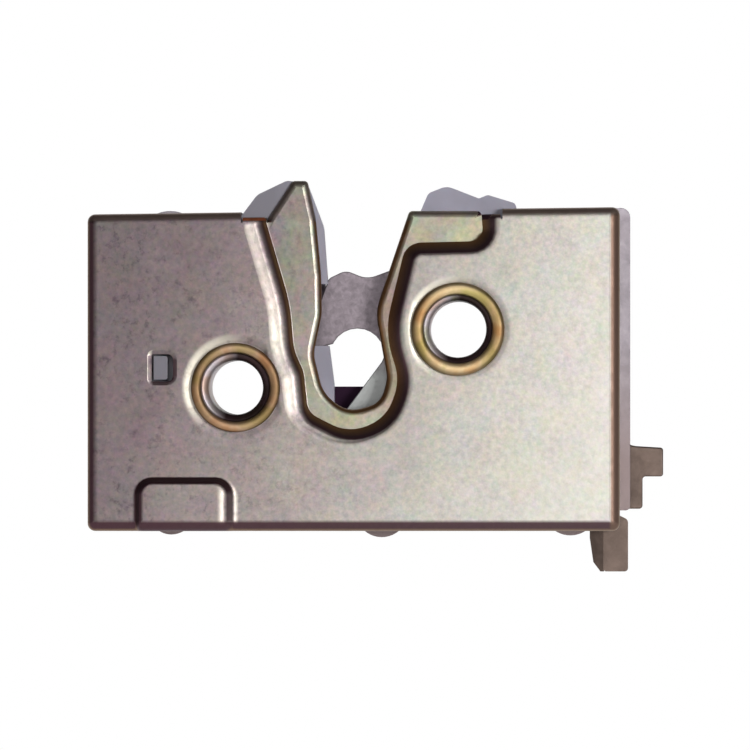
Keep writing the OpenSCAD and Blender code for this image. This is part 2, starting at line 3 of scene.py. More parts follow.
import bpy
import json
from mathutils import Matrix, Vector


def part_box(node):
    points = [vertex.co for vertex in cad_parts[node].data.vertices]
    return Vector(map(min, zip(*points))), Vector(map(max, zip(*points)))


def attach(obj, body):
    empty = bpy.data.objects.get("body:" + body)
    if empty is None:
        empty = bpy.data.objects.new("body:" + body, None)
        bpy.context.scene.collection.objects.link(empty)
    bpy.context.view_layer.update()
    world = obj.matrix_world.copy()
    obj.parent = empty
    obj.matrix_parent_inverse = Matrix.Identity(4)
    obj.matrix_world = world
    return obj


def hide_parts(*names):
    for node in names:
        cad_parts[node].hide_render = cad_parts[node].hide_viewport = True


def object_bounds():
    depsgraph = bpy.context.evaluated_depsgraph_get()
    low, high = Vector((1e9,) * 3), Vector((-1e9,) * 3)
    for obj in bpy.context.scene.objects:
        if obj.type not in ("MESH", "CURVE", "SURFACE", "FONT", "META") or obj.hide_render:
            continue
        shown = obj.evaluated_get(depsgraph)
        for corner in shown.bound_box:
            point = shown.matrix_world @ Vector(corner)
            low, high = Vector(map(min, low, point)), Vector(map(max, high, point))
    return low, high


bl_info = {
    "name": "Car door latch",
    "version": (1, 0, 0),
    "blender": (4, 5, 0),
    "location": "View3D > Sidebar > Latch",
    "description": "Builds the plated pan, bushes, claw, mouldings and levers of a rotary door latch",
    "category": "Object",
}

import json
import math

import bmesh
import bpy
from mathutils import Matrix, Vector
from mathutils.geometry import intersect_line_line_2d

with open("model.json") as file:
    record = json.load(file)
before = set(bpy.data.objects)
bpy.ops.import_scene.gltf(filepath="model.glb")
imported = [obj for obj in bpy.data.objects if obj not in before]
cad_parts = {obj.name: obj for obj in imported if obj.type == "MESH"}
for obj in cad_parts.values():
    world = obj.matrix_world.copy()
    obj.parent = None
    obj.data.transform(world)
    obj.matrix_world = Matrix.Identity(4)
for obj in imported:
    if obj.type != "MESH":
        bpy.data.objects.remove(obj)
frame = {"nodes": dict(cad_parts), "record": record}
cad_low, cad_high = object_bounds()
mounts = {mount["name"]: Vector(mount["pos_m"]) for mount in frame["record"]["mounts"]}
mount_sizes = {mount["name"]: mount["dims"] for mount in frame["record"]["mounts"]}

MM = 0.001

# The pan's box in millimetres: its walls, and its front at the raised patch
pan_low, pan_high = (Vector(corner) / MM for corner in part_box("front_cover"))
claw_at, pawl_at = (Vector((mounts[name].x, mounts[name].z)) / MM for name in ("claw_bore", "pawl_bore"))


def linear(code):
    """An sRGB hex value as linear red, green, blue and alpha."""
    shares = [int(code[i:i + 2], 16) / 255 for i in (1, 3, 5)]
    return tuple(c / 12.92 if c < 0.04045 else ((c + 0.055) / 1.055) ** 2.4 for c in shares) + (1.0,)


def colour(name, about, code):
    """A colour property whose default is given as an sRGB hex value."""
    return bpy.props.FloatVectorProperty(
        name=name, description=about, subtype="COLOR", size=4, min=0, max=1, default=linear(code))


def length(name, about, millimetres):
    """A length property whose default is given in millimetres."""
    return bpy.props.FloatProperty(
        name=name, description=about, subtype="DISTANCE", unit="LENGTH", default=millimetres * MM)


class LatchSizes(bpy.types.PropertyGroup):
    """Sizes of what is modelled here."""

    sheet: length("Sheet", "Thickness of the pan's sheet", 1.2)
    pan_top: length("Pan top", "From the claw bore up to the pan's top wall at the claw end", 20.5)
    pan_fall: length("Pan fall", "How much lower the top wall is at the pawl end", 1.2)
    bend: length("Bend", "Outside radius of the pan's bends", 1.8)
    band_depth: length("Band depth", "Depth of the band pressed in round the slot", 2.2)
    patch_height: length("Patch height", "Height of the raised patch in the lower corner", 1.7)
    dimple_depth: length("Dimple depth", "Depth of the dimple round each bush", 0.2)
    blank_edge: length("Blanked edge", "Radius on the front edge of the slot", 1.1)
    broken_edge: length("Broken edge", "How far the edges of blanked parts are rounded", 0.25)
    grain: length("Plate grain", "Size of the grains in the plating", 0.75)
    camera_distance: length("Camera distance", "From the pan's face to the camera", 1500)
    frame_width: length("Frame width", "Width of the picture at the pan's face", 125.84)


class LatchFinish(bpy.types.PropertyGroup):
    """Colours of the finishes."""

    # The pan's tones run from dark at the pawl's end to pale at the claw's end: partly painted light, darker
    # away from the light
    pan_dark: colour("Pan, dark end", "Plating at the pawl's end of the pan", "#766a6b")
    pan_mid: colour("Pan, middle", "Plating between the two bushes", "#a29793")
    pan_pale: colour("Pan, pale end", "Plating at the claw's end of the pan", "#c2beb5")
    band_dark: colour("Band, dark end", "Plating of the horn", "#8b837b")
    band_pale: colour("Band, pale end", "Plating of the flag", "#aca794")
    # A browner tone on the slot's right leg
    leg_brown: colour("Slot's right leg", "Coat worn by the striker beside the slot", "#7c5e56")
    # Painted shade and light of the walls and bends: dark shade on the walls, a painted reflection on their
    # steepest part, a painted highlight on the top bend, and a browner tone at the foot
    pan_wall_shade: colour("Pan walls", "Plating on the bends and walls", "#4c3038")
    pan_edge: colour("Pan edges", "Plating on the steepest part of the bends", "#7e6248")
    pan_crest_highlight: colour("Top bend", "Plating on the outer half of the top bend", "#a08c80")
    pan_foot: colour("Foot of the walls", "Brown coat deep down on the walls", "#8a6438")
    raw_edge: colour("Raw edge", "Rusty edge beside the horn", "#8a4b2a")
    ring_gold: colour("Claw ring", "Yellow chromate on the claw bush's rolled ring", "#f0d4a4")
    ring_bronze: colour("Pawl ring", "Yellow chromate on the pawl bush's rolled ring", "#ccaa88")
    # Inside the bushes: painted light on the side that faces the light, and painted shade on the rest
    bush_lit_grey: colour("Bush", "Zinc plate inside the bushes", "#dcd2d8")
    bush_shaded_brown: colour("Bush, unworn", "Chromate left inside the bushes", "#3c2a2e")
    back_grey: colour("Back plate", "Zinc plate of the back plate", "#9a939a")
    back_low: colour("Back plate, low", "The same further down, browner", "#8a7c7c")
    lever_brown: colour("Levers", "Zinc plate of the levers", "#6f6058")
    claw_grey: colour("Claw", "Hardened steel of the claw and the pawl", "#8e848a")
    # The claw's paler tone lower down, on its lower jaw
    claw_pale_low: colour("Claw, worn", "The claw's lower jaw, rubbed by the striker", "#acaeac")
    bright_zinc: colour("Studs", "Zinc plate of the studs, the post and the washers", "#a09890")
    spring_grey: colour("Springs", "Oiled wire and clips", "#5c5654")
    nylon: colour("Moulding", "Lilac-grey nylon of the guide body", "#b6b3c3")
    # The nylon's painted shade at the pawl's end, away from the light
    nylon_shaded_end: colour("Moulding, pawl end", "The same at the pawl end, soiled", "#98959f")
    white_nylon: colour("Clips", "White nylon of the spacer and the rod clip", "#e0dace")
    # The rubber's purple black also stands in for the deep shade at the floor of the slot
    rubber: colour("Rubber", "Black rubber of the buffer and the sleeve", "#30082e")


def shade(tone, share):
    """A colour made darker or paler by a share of itself."""
    return tuple(min(1.0, c * share) for c in tone[:3]) + (1.0,)


def add(tree, kind, inputs=None, stops=None, **settings):
    """Adds a node with its settings, its inputs set or linked and its ramp's stops; gives its outputs."""
    node = tree.nodes.new("ShaderNode" + kind)
    for name, value in settings.items():
        setattr(node, name, value)
    for name, value in (inputs or {}).items():
        if isinstance(value, bpy.types.NodeSocket):
            tree.links.new(value, node.inputs[name])
        else:
            node.inputs[name].default_value = value
    for i, (place, tone) in enumerate(stops or []):
        ramp = node.color_ramp.elements
        stop = ramp[i] if i < len(ramp) else ramp.new(place)
        stop.position = place
        stop.color = tone
    return node.outputs


def material(name):
    """A new material with an empty tree."""
    made = bpy.data.materials.new(name)
    made.use_nodes = True
    made.node_tree.nodes.clear()
    return made, made.node_tree


def mask(tree, limits, share=1.0):
    """A share that is full where every value is past its limits, each given as (value, start, full)."""
    for value, start, full in limits:
        past = add(tree, "MapRange", {"Value": value, "From Min": start, "From Max": full})[0]
        share = add(tree, "Math", {0: past, 1: share}, operation="MULTIPLY")[0]
    return share


def layered(tree, under, over, limits, share=1.0):
    """Lays one colour over another, by a share, where every value is past its limits."""
    return add(tree, "Mix", {0: mask(tree, limits, share), 6: under, 7: over}, data_type="RGBA")[2]


def in_millimetres(tree, place):
    """A place in millimetres, and its three parts."""
    in_mm = add(tree, "VectorMath", {0: place, "Scale": 1 / MM}, operation="SCALE")[0]
    return in_mm, *add(tree, "SeparateXYZ", {0: in_mm})


def round_bush(tree, in_mm, at, way):
    """A place as seen from a bush's axis, how far it is from there, and how far along a direction."""
    centred = add(tree, "Mapping", {"Vector": in_mm, "Location": (-at.x, 0, -at.y), "Scale": (1, 0, 1)})[0]
    radius = add(tree, "VectorMath", {0: centred}, operation="LENGTH")["Value"]
    along = add(tree, "VectorMath", {0: centred, 1: way}, operation="DOT_PRODUCT")["Value"]
    return centred, radius, along


def surface(tree, looks, height, strength, depth):
    """Ends a material: a Principled shader with its looks, and bumps from a height."""
    bump = add(tree, "Bump", {"Strength": strength, "Distance": depth, "Height": height})[0]
    shader = add(tree, "BsdfPrincipled", {**looks, "Normal": bump})[0]
    add(tree, "OutputMaterial", {"Surface": shader})


def background_share(tree, reflected):
    """1 for what the camera sees, straight or through glass, and a share of what it sees reflected."""
    ray = add(tree, "LightPath")
    shine = add(tree, "Math", {0: ray["Is Glossy Ray"], 1: reflected}, operation="MULTIPLY")[0]
    seen = add(tree, "Math", {0: ray["Is Camera Ray"], 1: shine}, operation="MAXIMUM")[0]
    return add(tree, "Math", {0: seen, 1: ray["Is Transmission Ray"]}, operation="MAXIMUM")[0]


# Noise lies between these values nearly everywhere
NOISE_LOW, NOISE_HIGH = 0.3, 0.7
# The real grain of plate and of a mould is finer than a pixel: it is drawn as coarse as it needs to show
PLATE_GRAIN, MOULD_GRAIN = 0.5 * MM, 0.35 * MM
# A painted highlight: the pale colour laid where slopes face the light
PAINTED_HIGHLIGHT = linear("#f2ecd8")


def chromate(name, tones, sizes, walls, clouds_share, leg=None):
    """Yellow chromate over zinc on deep-drawn steel: a dull, cloudy metal with dark handling marks, and
    painted highlights and painted shade on its slopes, walls and bends.
    """
    made, tree = material(name)
    where = add(tree, "TexCoord")
    place = where["Object"]
    in_mm, x, y, z = in_millimetres(tree, place)
    # The tone runs from the pawl end to the claw end and from the top down, in clouds of about 8 mm; on the
    # face this ramp is partly painted light, paler towards the lower right, where the light comes from
    clouds = add(tree, "TexNoise", {
        "Vector": place, "Scale": 1 / (8 * MM), "Detail": 3.0, "Roughness": 0.5, "Distortion": 0.3})[0]
    shift = add(tree, "MapRange", {
        "Value": clouds, "From Min": NOISE_LOW, "From Max": NOISE_HIGH, "To Min": -4, "To Max": 4})[0]
    along = add(tree, "Math", {0: z, 1: -0.5, 2: x}, operation="MULTIPLY_ADD")[0]
    along = add(tree, "Math", {0: along, 1: shift}, operation="ADD")[0]
    first, last = tones[0][0], tones[-1][0]
    stops = [((at - first) / (last - first), tone) for at, tone in tones]
    tone = add(tree, "ValToRGB", {0: mask(tree, [(along, first, last)])}, stops=stops)[0]
    # The coat shimmers green, pink and blue, in clouds of about 5 mm and from grain to grain
    shimmer = add(tree, "TexNoise", {
        "Vector": place, "Scale": 1 / (5 * MM), "Detail": 3.0, "Roughness": 0.6, "Distortion": 0.4})
    fine = add(tree, "TexNoise", {"Vector": place, "Scale": 1 / sizes.grain, "Detail": 2.0, "Roughness": 0.6})
    for share, cloud in ((clouds_share, shimmer["Color"]), (0.15, fine["Color"]), (0.25, fine[0])):
        tone = add(tree, "Mix", {0: share, 6: tone, 7: cloud}, data_type="RGBA", blend_type="OVERLAY")[2]
    if leg:
        # The slot's right leg is browner
        tone = layered(tree, tone, leg, [(z, 13, 8), (z, -13.5, -10), (x, -16, -13)], 0.45)
    # Painted highlight round the bushes, on the side of the pawl, where the dimples' slopes face the light
    for at in (claw_at, pawl_at):
        radius, left = round_bush(tree, in_mm, at, (-0.9, 0, 0.4))[1:]
        tone = layered(tree, tone, PAINTED_HIGHLIGHT, [(radius, 9.3, 8.1), (left, 1, 6)], 0.45)
    # Dark handling marks of about 1 mm, mostly at the pawl end
    marks = add(tree, "TexNoise", {
        "Vector": place, "Scale": 1 / (1.3 * MM), "Detail": 4.0, "Roughness": 0.65, "Distortion": 0.2})[0]
    far = add(tree, "MapRange", {
        "Value": x, "From Min": -10, "From Max": -58, "To Min": 0.08, "To Max": 0.7})[0]
    tone = layered(tree, tone, linear("#4c3f4a"), [(marks, 0.54, 0.74)], far)
    # Gentle slopes that fall to the right, towards the light, get a painted highlight
    lean = add(tree, "VectorMath", {
        0: where["Normal"], 1: (0.21, -1.0, -0.13)}, operation="DOT_PRODUCT")["Value"]
    tone = layered(tree, tone, PAINTED_HIGHLIGHT, [(lean, 1.004, 1.028)], 0.42)
    # Painted shade on the walls and bends, and painted reflections on their steepest parts and on the top
    # bend
    dark, coat = painted_wall_shade(tree, walls, sizes, (x, y, z), where["Normal"], lean)
    tone = add(tree, "Mix", {0: dark, 6: tone, 7: coat}, data_type="RGBA")[2]
    rough = add(tree, "MapRange", {
        "Value": marks, "From Min": NOISE_LOW, "From Max": NOISE_HIGH, "To Min": 0.36, "To Max": 0.48})[0]
    surface(tree, {"Base Color": tone, "Metallic": 0.8, "Roughness": rough}, fine[0], 0.3, 0.05 * MM)
    return made


def painted_wall_shade(tree, walls, sizes, place, normal, lean):
    """Painted shade on the walls and bends, with painted reflections and highlights on parts of them: how
    much it covers, and its colour.
    """
    x, y, z = place
    wall, edge, crest, foot = walls
    # The painted shade covers slopes, first those that fall to the left or upwards, away from the light, and
    # the bends at the claw's end and underneath
    end_bend = (x, pan_high.x - 1.9, pan_high.x - 1.4)
    bottom_bend = (z, pan_low.z + 1.9, pan_low.z + 1.4)
    dark = mask(tree, [(lean, 0.97, 0.78)])
    for bend in (end_bend, bottom_bend):
        dark = add(tree, "Math", {0: dark, 1: mask(tree, [bend])}, operation="MAXIMUM")[0]
    # Where the sunk walls are steepest, and half so at the claw's end, it is a lighter brown: a painted
    # reflection
    steep = add(tree, "SeparateXYZ", {0: normal})["Y"]
    steepest = mask(tree, [(steep, -0.72, -0.45), (y, pan_low.y + 1.2, pan_low.y + 1.9)])
    steepest = add(tree, "Math", {0: steepest, 1: mask(tree, [end_bend], 0.5)}, operation="MAXIMUM")[0]
    coat = add(tree, "Mix", {0: steepest, 6: wall, 7: edge}, data_type="RGBA")[2]
    # The outer half of the top bend gets a painted highlight in grey
    fall = sizes.pan_fall / MM / (pan_high.x - pan_low.x)
    top = sizes.pan_top / MM - fall * pan_high.x
    height = add(tree, "Math", {0: x, 1: -fall, 2: z}, operation="MULTIPLY_ADD")[0]
    coat = layered(tree, coat, crest, [(height, top - 1.4, top - 0.9)], 0.8)
    # The band's wall is browner at its foot, and on the pan's own walls most of the painted shade is left
    # out, so they are nearly as bright as its face
    in_band = [(x, -37, -35), (x, 10, 9), (z, -23, -21.5), (height, top - 1.5, top - 1.9)]
    coat = layered(tree, coat, foot, [(y, pan_low.y + 2.4, pan_low.y + 3.7)] + in_band, 0.8)
    outside = add(tree, "Math", {0: 1.0, 1: mask(tree, in_band)}, operation="SUBTRACT")[0]
    own_wall = mask(tree, [(y, pan_low.y + 3.5, pan_low.y + 4.7)], outside)
    full = add(tree, "Math", {0: own_wall, 1: -0.75 * 0.95, 2: 0.95}, operation="MULTIPLY_ADD")[0]
    return add(tree, "Math", {0: dark, 1: full}, operation="MULTIPLY")[0], coat


def rolled(name, gold, grey, brown, at):
    """A bush's yellow chromate: gold where the end is rolled over, with painted shade on the roll's flanks
    and sides, and painted light and shade in the bore.
    """
    made, tree = material(name)
    place = add(tree, "TexCoord")["Object"]
    centred, radius, left = round_bush(tree, in_millimetres(tree, place)[0], at, (-0.98, 0, 0.2))
    inner, outer = 5.6, 7.9
    # Painted shade on the roll: darker on its inner and outer flanks, brightest on its crest
    gilt = add(tree, "ValToRGB", {0: mask(tree, [(radius, inner, outer)])}, stops=[
        ((r - inner) / (outer - inner), shade(gold, share)) for r, share in (
            (5.8, 0.5), (6.15, 0.85), (6.7, 1), (7.15, 0.8), (7.5, 0.4))])[0]
    # Painted shade: the roll is browner on both sides than above and below
    sideways = add(tree, "SeparateXYZ", {0: centred})["X"]
    sideways = add(tree, "Math", {0: sideways}, operation="ABSOLUTE")[0]
    gilt = add(tree, "Mix", {
        0: mask(tree, [(sideways, 2, 6.5)]), 6: gilt, 7: linear("#c2b6a4")},
        data_type="RGBA", blend_type="MULTIPLY")[2]
    # Inside, painted light makes the left side, which faces the light, grey, and the rest is painted brown
    # shade
    inside = layered(tree, brown, grey, [(left, 0.6, 3.6)])
    tone = layered(tree, inside, gilt, [(radius, 5.65, 5.85)])
    clouds = add(tree, "TexNoise", {
        "Vector": place, "Scale": 1 / (5 * MM), "Detail": 3.0, "Roughness": 0.5, "Distortion": 0.3})[0]
    cloudy = add(tree, "ValToRGB", {0: clouds}, stops=[
        (0.35, linear("#f0d0b0")), (0.5, linear("#ffffff")), (0.65, linear("#d4e0a8"))])[0]
    tone = add(tree, "Mix", {0: 0.8, 6: tone, 7: cloudy}, data_type="RGBA", blend_type="MULTIPLY")[2]
    fine = add(tree, "TexNoise", {
        "Vector": place, "Scale": 1 / PLATE_GRAIN, "Detail": 3.0, "Roughness": 0.7})[0]
    rough = add(tree, "MapRange", {
        "Value": fine, "From Min": NOISE_LOW, "From Max": NOISE_HIGH, "To Min": 0.42, "To Max": 0.52})[0]
    surface(tree, {"Base Color": tone, "Metallic": 0.6, "Roughness": rough}, fine, 0.2, 0.04 * MM)
    return made


def plated(name, tone, size, rough=(0.35, 0.5), contrast=0.2, metallic=0.85, below=None):
    """Zinc plate on a blanked part: a cloudy metal round one tone, which may change further down."""
    made, tree = material(name)
    place = add(tree, "TexCoord")["Object"]
    clouds = add(tree, "TexNoise", {
        "Vector": place, "Scale": 1 / size, "Detail": 4.0, "Roughness": 0.62, "Distortion": 0.4})[0]
    coat = add(tree, "ValToRGB", {0: clouds}, stops=[
        (0.34, shade(tone, 1 - contrast)), (0.5, shade(tone, 1.0)), (0.66, shade(tone, 1 + contrast))])[0]
    if below:
        low_tone, start, full = below
        down = add(tree, "SeparateXYZ", {0: place})["Z"]
        coat = layered(tree, coat, low_tone, [(down, start, full)])
    fine = add(tree, "TexNoise", {
        "Vector": place, "Scale": 1 / PLATE_GRAIN, "Detail": 3.0, "Roughness": 0.7})[0]
    speckled = add(tree, "MapRange", {
        "Value": fine, "From Min": NOISE_LOW, "From Max": NOISE_HIGH,
        "To Min": rough[0], "To Max": rough[1]})[0]
    surface(tree, {"Base Color": coat, "Metallic": metallic, "Roughness": speckled}, fine, 0.2, 0.04 * MM)
    return made


def moulded(name, tone, rough, subsurface=0.0, pawl_end=None):
    """Moulded plastic or rubber: even colour, with the fine grain of the mould."""
    made, tree = material(name)
    place = add(tree, "TexCoord")["Object"]
    clouds = add(tree, "TexNoise", {
        "Vector": place, "Scale": 1 / (6 * MM), "Detail": 3.0, "Roughness": 0.5})[0]
    even = layered(tree, shade(tone, 0.92), shade(tone, 1.08), [(clouds, 0.35, 0.65)])
    # Painted shade towards the pawl's end, away from the light
    if pawl_end:
        across = add(tree, "SeparateXYZ", {0: place})["X"]
        even = layered(tree, even, pawl_end, [(across, -25 * MM, -31 * MM)])
    fine = add(tree, "TexNoise", {
        "Vector": place, "Scale": 1 / MOULD_GRAIN, "Detail": 2.0, "Roughness": 0.6})[0]
    surface(tree, {
        "Base Color": even, "Roughness": rough, "Subsurface Weight": subsurface,
        "Subsurface Scale": 1.5 * MM}, fine, 0.15, 0.03 * MM)
    return made


# The finishes by name, once they are made
finishes = {}


def make_finishes(scene):
    """Every finish of the latch, by name."""
    sizes, finish = scene.latch_sizes, scene.latch_finish
    # Painted shade and light for the walls and bends
    walls = (finish.pan_wall_shade, finish.pan_edge, finish.pan_crest_highlight, finish.pan_foot)
    # The tones stand where they are reached, in millimetres from the claw's bore
    face_tones = (
        (-60, finish.pan_dark), (-45, shade(finish.pan_dark, 1.25)), (-20, finish.pan_mid),
        (13, finish.pan_pale), (34, shade(finish.pan_pale, 1.2)))
    band_tones = ((-38, finish.band_dark), (-11, finish.band_pale), (0, finish.band_pale))
    # Chromate on the drawn sheet: dull and cloudy, from a purple grey at the pawl's end to a warm pale grey,
    # a ramp that is partly painted light
    finishes["pan"] = chromate("yellow_chromate_zinc", face_tones, sizes, walls, 0.13)
    # The same on the sunk band, where it kept more of its olive and rainbow tints
    finishes["band"] = chromate("olive_chromate_zinc", band_tones, sizes, walls, 0.36, finish.leg_brown)
    # Painted shade in the walls' dark brown, dull, on the bend beside the flag; and where the sheet was
    # sheared, rusty with little shine
    finishes["drawn"] = plated("painted_shade_bend", finish.pan_wall_shade, 1 * MM, (0.5, 0.6))
    finishes["raw"] = plated(
        "sheared_edge", finish.raw_edge, 1.5 * MM, (0.5, 0.65), contrast=0.35, metallic=0.3)
    # Chromate on turned steel: a smooth gold or bronze roll with painted shade, and painted light and shade
    # in the bore, grey and brown
    bore = (finish.bush_lit_grey, finish.bush_shaded_brown)
    finishes["claw_ring"] = rolled("gold_chromate_zinc", finish.ring_gold, *bore, claw_at)
    finishes["pawl_ring"] = rolled("bronze_chromate_zinc", finish.ring_bronze, *bore, pawl_at)
    # Plain zinc plate: grey and dull, browner low down and on the levers, brighter on the turned parts
    finishes["back"] = plated(
        "dull_zinc", finish.back_grey, 4 * MM, below=(finish.back_low, -2 * MM, -22 * MM))
    finishes["lever"] = plated("brown_zinc", finish.lever_brown, 3 * MM)
    finishes["bright"] = plated("bright_zinc", finish.bright_zinc, 2 * MM, (0.28, 0.4))
    # Bare hardened steel: an even purple grey, paler lower down, on the lower jaw
    finishes["claw"] = plated(
        "hardened_steel", finish.claw_grey, 1.1 * MM, (0.42, 0.58),
        below=(finish.claw_pale_low, -4 * MM, -8 * MM))
    # Oiled spring steel: dark, with a soft shine
    finishes["spring"] = plated("oiled_spring_steel", finish.spring_grey, 1.5 * MM, (0.3, 0.42))
    # Moulded nylon: even and waxy, with painted shade at the pawl's end
    finishes["nylon"] = moulded(
        "lilac_grey_nylon", finish.nylon, 0.42, subsurface=0.1, pawl_end=finish.nylon_shaded_end)
    finishes["white_nylon"] = moulded("white_nylon", finish.white_nylon, 0.4, subsurface=0.1)
    # Moulded rubber: black and matt; on the buffer at the floor of the slot its purple black stands in for
    # deep shade
    finishes["rubber"] = moulded("black_rubber", finish.rubber, 0.85)


def piece(name, bm, finish, body, nodes=(), edge=0.0, angle=35, others=()):
    """Makes an object of a bmesh, breaks its sharp edges, and sets it on its body."""
    mesh = bpy.data.meshes.new(name)
    bm.to_mesh(mesh)
    bm.free()
    mesh.shade_smooth()
    mesh.set_sharp_from_angle(angle=math.radians(angle))
    for coat in (finish, *others):
        mesh.materials.append(finishes[coat])
    made = bpy.data.objects.new(name, mesh)
    bpy.context.scene.collection.objects.link(made)
    if edge:
        broken = made.modifiers.new("Broken edges", "BEVEL")
        broken.width = edge
        broken.segments = 3
        broken.limit_method = "ANGLE"
        broken.angle_limit = math.radians(angle)
        broken.use_clamp_overlap = True
        broken.miter_outer = "MITER_ARC"
    made.modifiers.new("Flat faces stay flat", "WEIGHTED_NORMAL").keep_sharp = True
    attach(made, body)
    if nodes:
        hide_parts(*nodes)
    return made


def body_of(node):
    """The body that carries a CAD node."""
    groups = frame["record"]["behaviour"]["bodies"]
    return next(body for body, members in groups.items() if node in members)


def dressed(node, finish, edge, angle=35, change=None):
    """A CAD node's own shape with its sharp edges broken, shown in its place, with a change if given."""
    bm = bmesh.new()
    bm.from_mesh(frame["nodes"][node].data)
    bmesh.ops.remove_doubles(bm, verts=bm.verts, dist=2 * NEAR * MM)
    bmesh.ops.dissolve_limit(
        bm, angle_limit=math.radians(0.5), verts=bm.verts, edges=bm.edges, use_dissolve_boundaries=False)
    if change:
        change(bm)
    return piece(node + "_part", bm, finish, body_of(node), [node], edge, angle)


class LATCH_OT_stage(bpy.types.Operator):
    """Camera, lamps, floor and white surroundings"""

    bl_idname = "latch.stage"
    bl_label = "Stage"

    def execute(self, context):
        scene = context.scene
        sizes = scene.latch_sizes
        scene.view_settings.view_transform = "Standard"
        face_y = pan_low.y * MM + sizes.patch_height
        lens_width = 36.0
        # The middle of the picture and the place of the camera, across the face
        aim, stand = Vector((-13.9, -7.7)) * MM, Vector((17, -13)) * MM
        cam = bpy.data.objects.new("camera", bpy.data.cameras.new("camera"))
        scene.collection.objects.link(cam)
        cam.location = (stand.x, face_y - sizes.camera_distance, stand.y)
        cam.rotation_euler = (math.radians(90), 0, 0)
        cam.data.sensor_width = lens_width
        cam.data.lens = lens_width * sizes.camera_distance / sizes.frame_width
        cam.data.shift_x, cam.data.shift_y = (aim - stand) / sizes.frame_width
        cam.data.clip_end = 20
        scene.camera = cam
        self.surroundings(scene)
        self.lamps(scene)
        self.floor(scene)
        return {"FINISHED"}

    def surroundings(self, scene):
        """White to the camera and, behind the latch, in reflections; soft grey light, darker on the left."""
        world = bpy.data.worlds.new("surroundings")
        world.use_nodes = True
        tree = world.node_tree
        tree.nodes.clear()
        way = add(tree, "TexCoord")["Generated"]
        parts = add(tree, "SeparateXYZ", {0: way})
        soft = layered(tree, linear("#2a262a"), linear("#4c4849"), [(parts["X"], -0.5, 0.5)])
        share = background_share(tree, mask(tree, [(parts["Y"], 0.45, 0.9)]))
        tone = add(tree, "Mix", {0: share, 6: soft, 7: (1, 1, 1, 1)}, data_type="RGBA")[2]
        back = add(tree, "Background", {"Color": tone, "Strength": 1.0})[0]
        add(tree, "OutputWorld", {"Surface": back})
        scene.world = world

    def lamps(self, scene):
        """A broad lamp in front, and a key lamp low down to the right of the camera."""
        # Each with its place and width in metres, and its power in watts
        for name, at, size, power in (
                ("front_lamp", (-0.1, -0.95, 0.25), 0.5, 1.2),
                ("key_lamp", (0.42, -0.87, 0.05), 0.3, 4.4)):
            lamp = bpy.data.lights.new(name, "AREA")
            lamp.shape = "DISK"
            lamp.size = size
            lamp.energy = power
            made = bpy.data.objects.new(name, lamp)
            made.location = at
            made.rotation_euler = (-Vector(at)).to_track_quat("-Z", "Y").to_euler()
            made.visible_camera = False
            scene.collection.objects.link(made)

    def floor(self, scene):
        """A plain floor just under the latch, white to the camera and in reflections."""
        bm = bmesh.new()
        bmesh.ops.create_grid(bm, x_segments=1, y_segments=1, size=3)
        bmesh.ops.translate(bm, verts=bm.verts, vec=(0, 0, cad_low.z - 0.2 * MM))
        mesh = bpy.data.meshes.new("floor")
        bm.to_mesh(mesh)
        bm.free()
        made, tree = material("white_paper")
        paper = add(tree, "BsdfDiffuse", {"Color": linear("#b4b4b4")})[0]
        glow = add(tree, "Emission", {"Color": (1, 1, 1, 1), "Strength": 1.0})[0]
        mixed = add(tree, "MixShader", {0: background_share(tree, 1.0), 1: paper, 2: glow})[0]
        add(tree, "OutputMaterial", {"Surface": mixed})
        mesh.materials.append(made)
        ground = bpy.data.objects.new("floor", mesh)
        scene.collection.objects.link(ground)


# The steps of arcs: in a corner of an outline, in the foot and the shoulder of a pressed wall, in a bend, in
# the edge that is turned up, in a bush's roll, and all the way round a bush
CORNER_STEPS = 6
FOOT_STEPS, SHOULDER_STEPS = 3, 8
BEND_STEPS, TURN_STEPS = 7, 4
ROLL_STEPS, ROUND_STEPS = 18, 96
# How near two points are one, and the least radius of a corner, in millimetres
NEAR = 0.001
SHARPEST = 0.06


def unit(v):
    """A vector of length 1."""
    return v / v.length


def corner_of(corners, i):
    """A corner with the directions to its neighbours, and half the angle between them."""
    here = Vector(corners[i][:2])
    u = unit(Vector(corners[i - 1][:2]) - here)
    v = unit(Vector(corners[(i + 1) % len(corners)][:2]) - here)
    return here, u, v, max(u.angle(v) / 2, 0.01)


def rounded(corners):
    """An outline given as (x, z, radius) corners, with each corner made an arc."""
    points = []
    for i, corner in enumerate(corners):
        here, u, v, half = corner_of(corners, i)
        room = min((Vector(corners[k % len(corners)][:2]) - here).length for k in (i - 1, i + 1))
        radius = min(corner[2], 0.48 * room * math.tan(half))
        middle = here + unit(u + v) * radius / math.sin(half)
        start = here + u * radius / math.tan(half) - middle
        end = here + v * radius / math.tan(half) - middle
        for k in range(CORNER_STEPS + 1):
            points.append(middle + Matrix.Rotation(-start.angle_signed(end) * k / CORNER_STEPS, 2) @ start)
    return points


def grown(corners, d):
    """An anticlockwise outline with its sides moved outwards by one distance, or each by its own."""
    reach = d if isinstance(d, list) else [d] * len(corners)
    made = []
    for i, corner in enumerate(corners):
        here, u, v, half = corner_of(corners, i)
        convex = 1 if v.cross(u) > 0 else -1
        here = here - (u * reach[i] + v * reach[i - 1]) * convex / math.sin(2 * half)
        radius = corner[2] + convex * (reach[i] + reach[i - 1]) / 2
        made.append((here.x, here.y, max(SHARPEST, radius)))
    return made


def ring(bm, points, y):
    """A closed ring of edges through points of the face, at a depth."""
    verts = [bm.verts.new((p.x, y, p.y)) for p in points]
    for a, b in zip(verts, verts[1:] + verts[:1]):
        bm.edges.new((a, b))
    return verts


def around(bm, chain):
    """The edges of a closed ring of vertices."""
    return [bm.edges.get(pair) for pair in zip(chain, chain[1:] + chain[:1])]


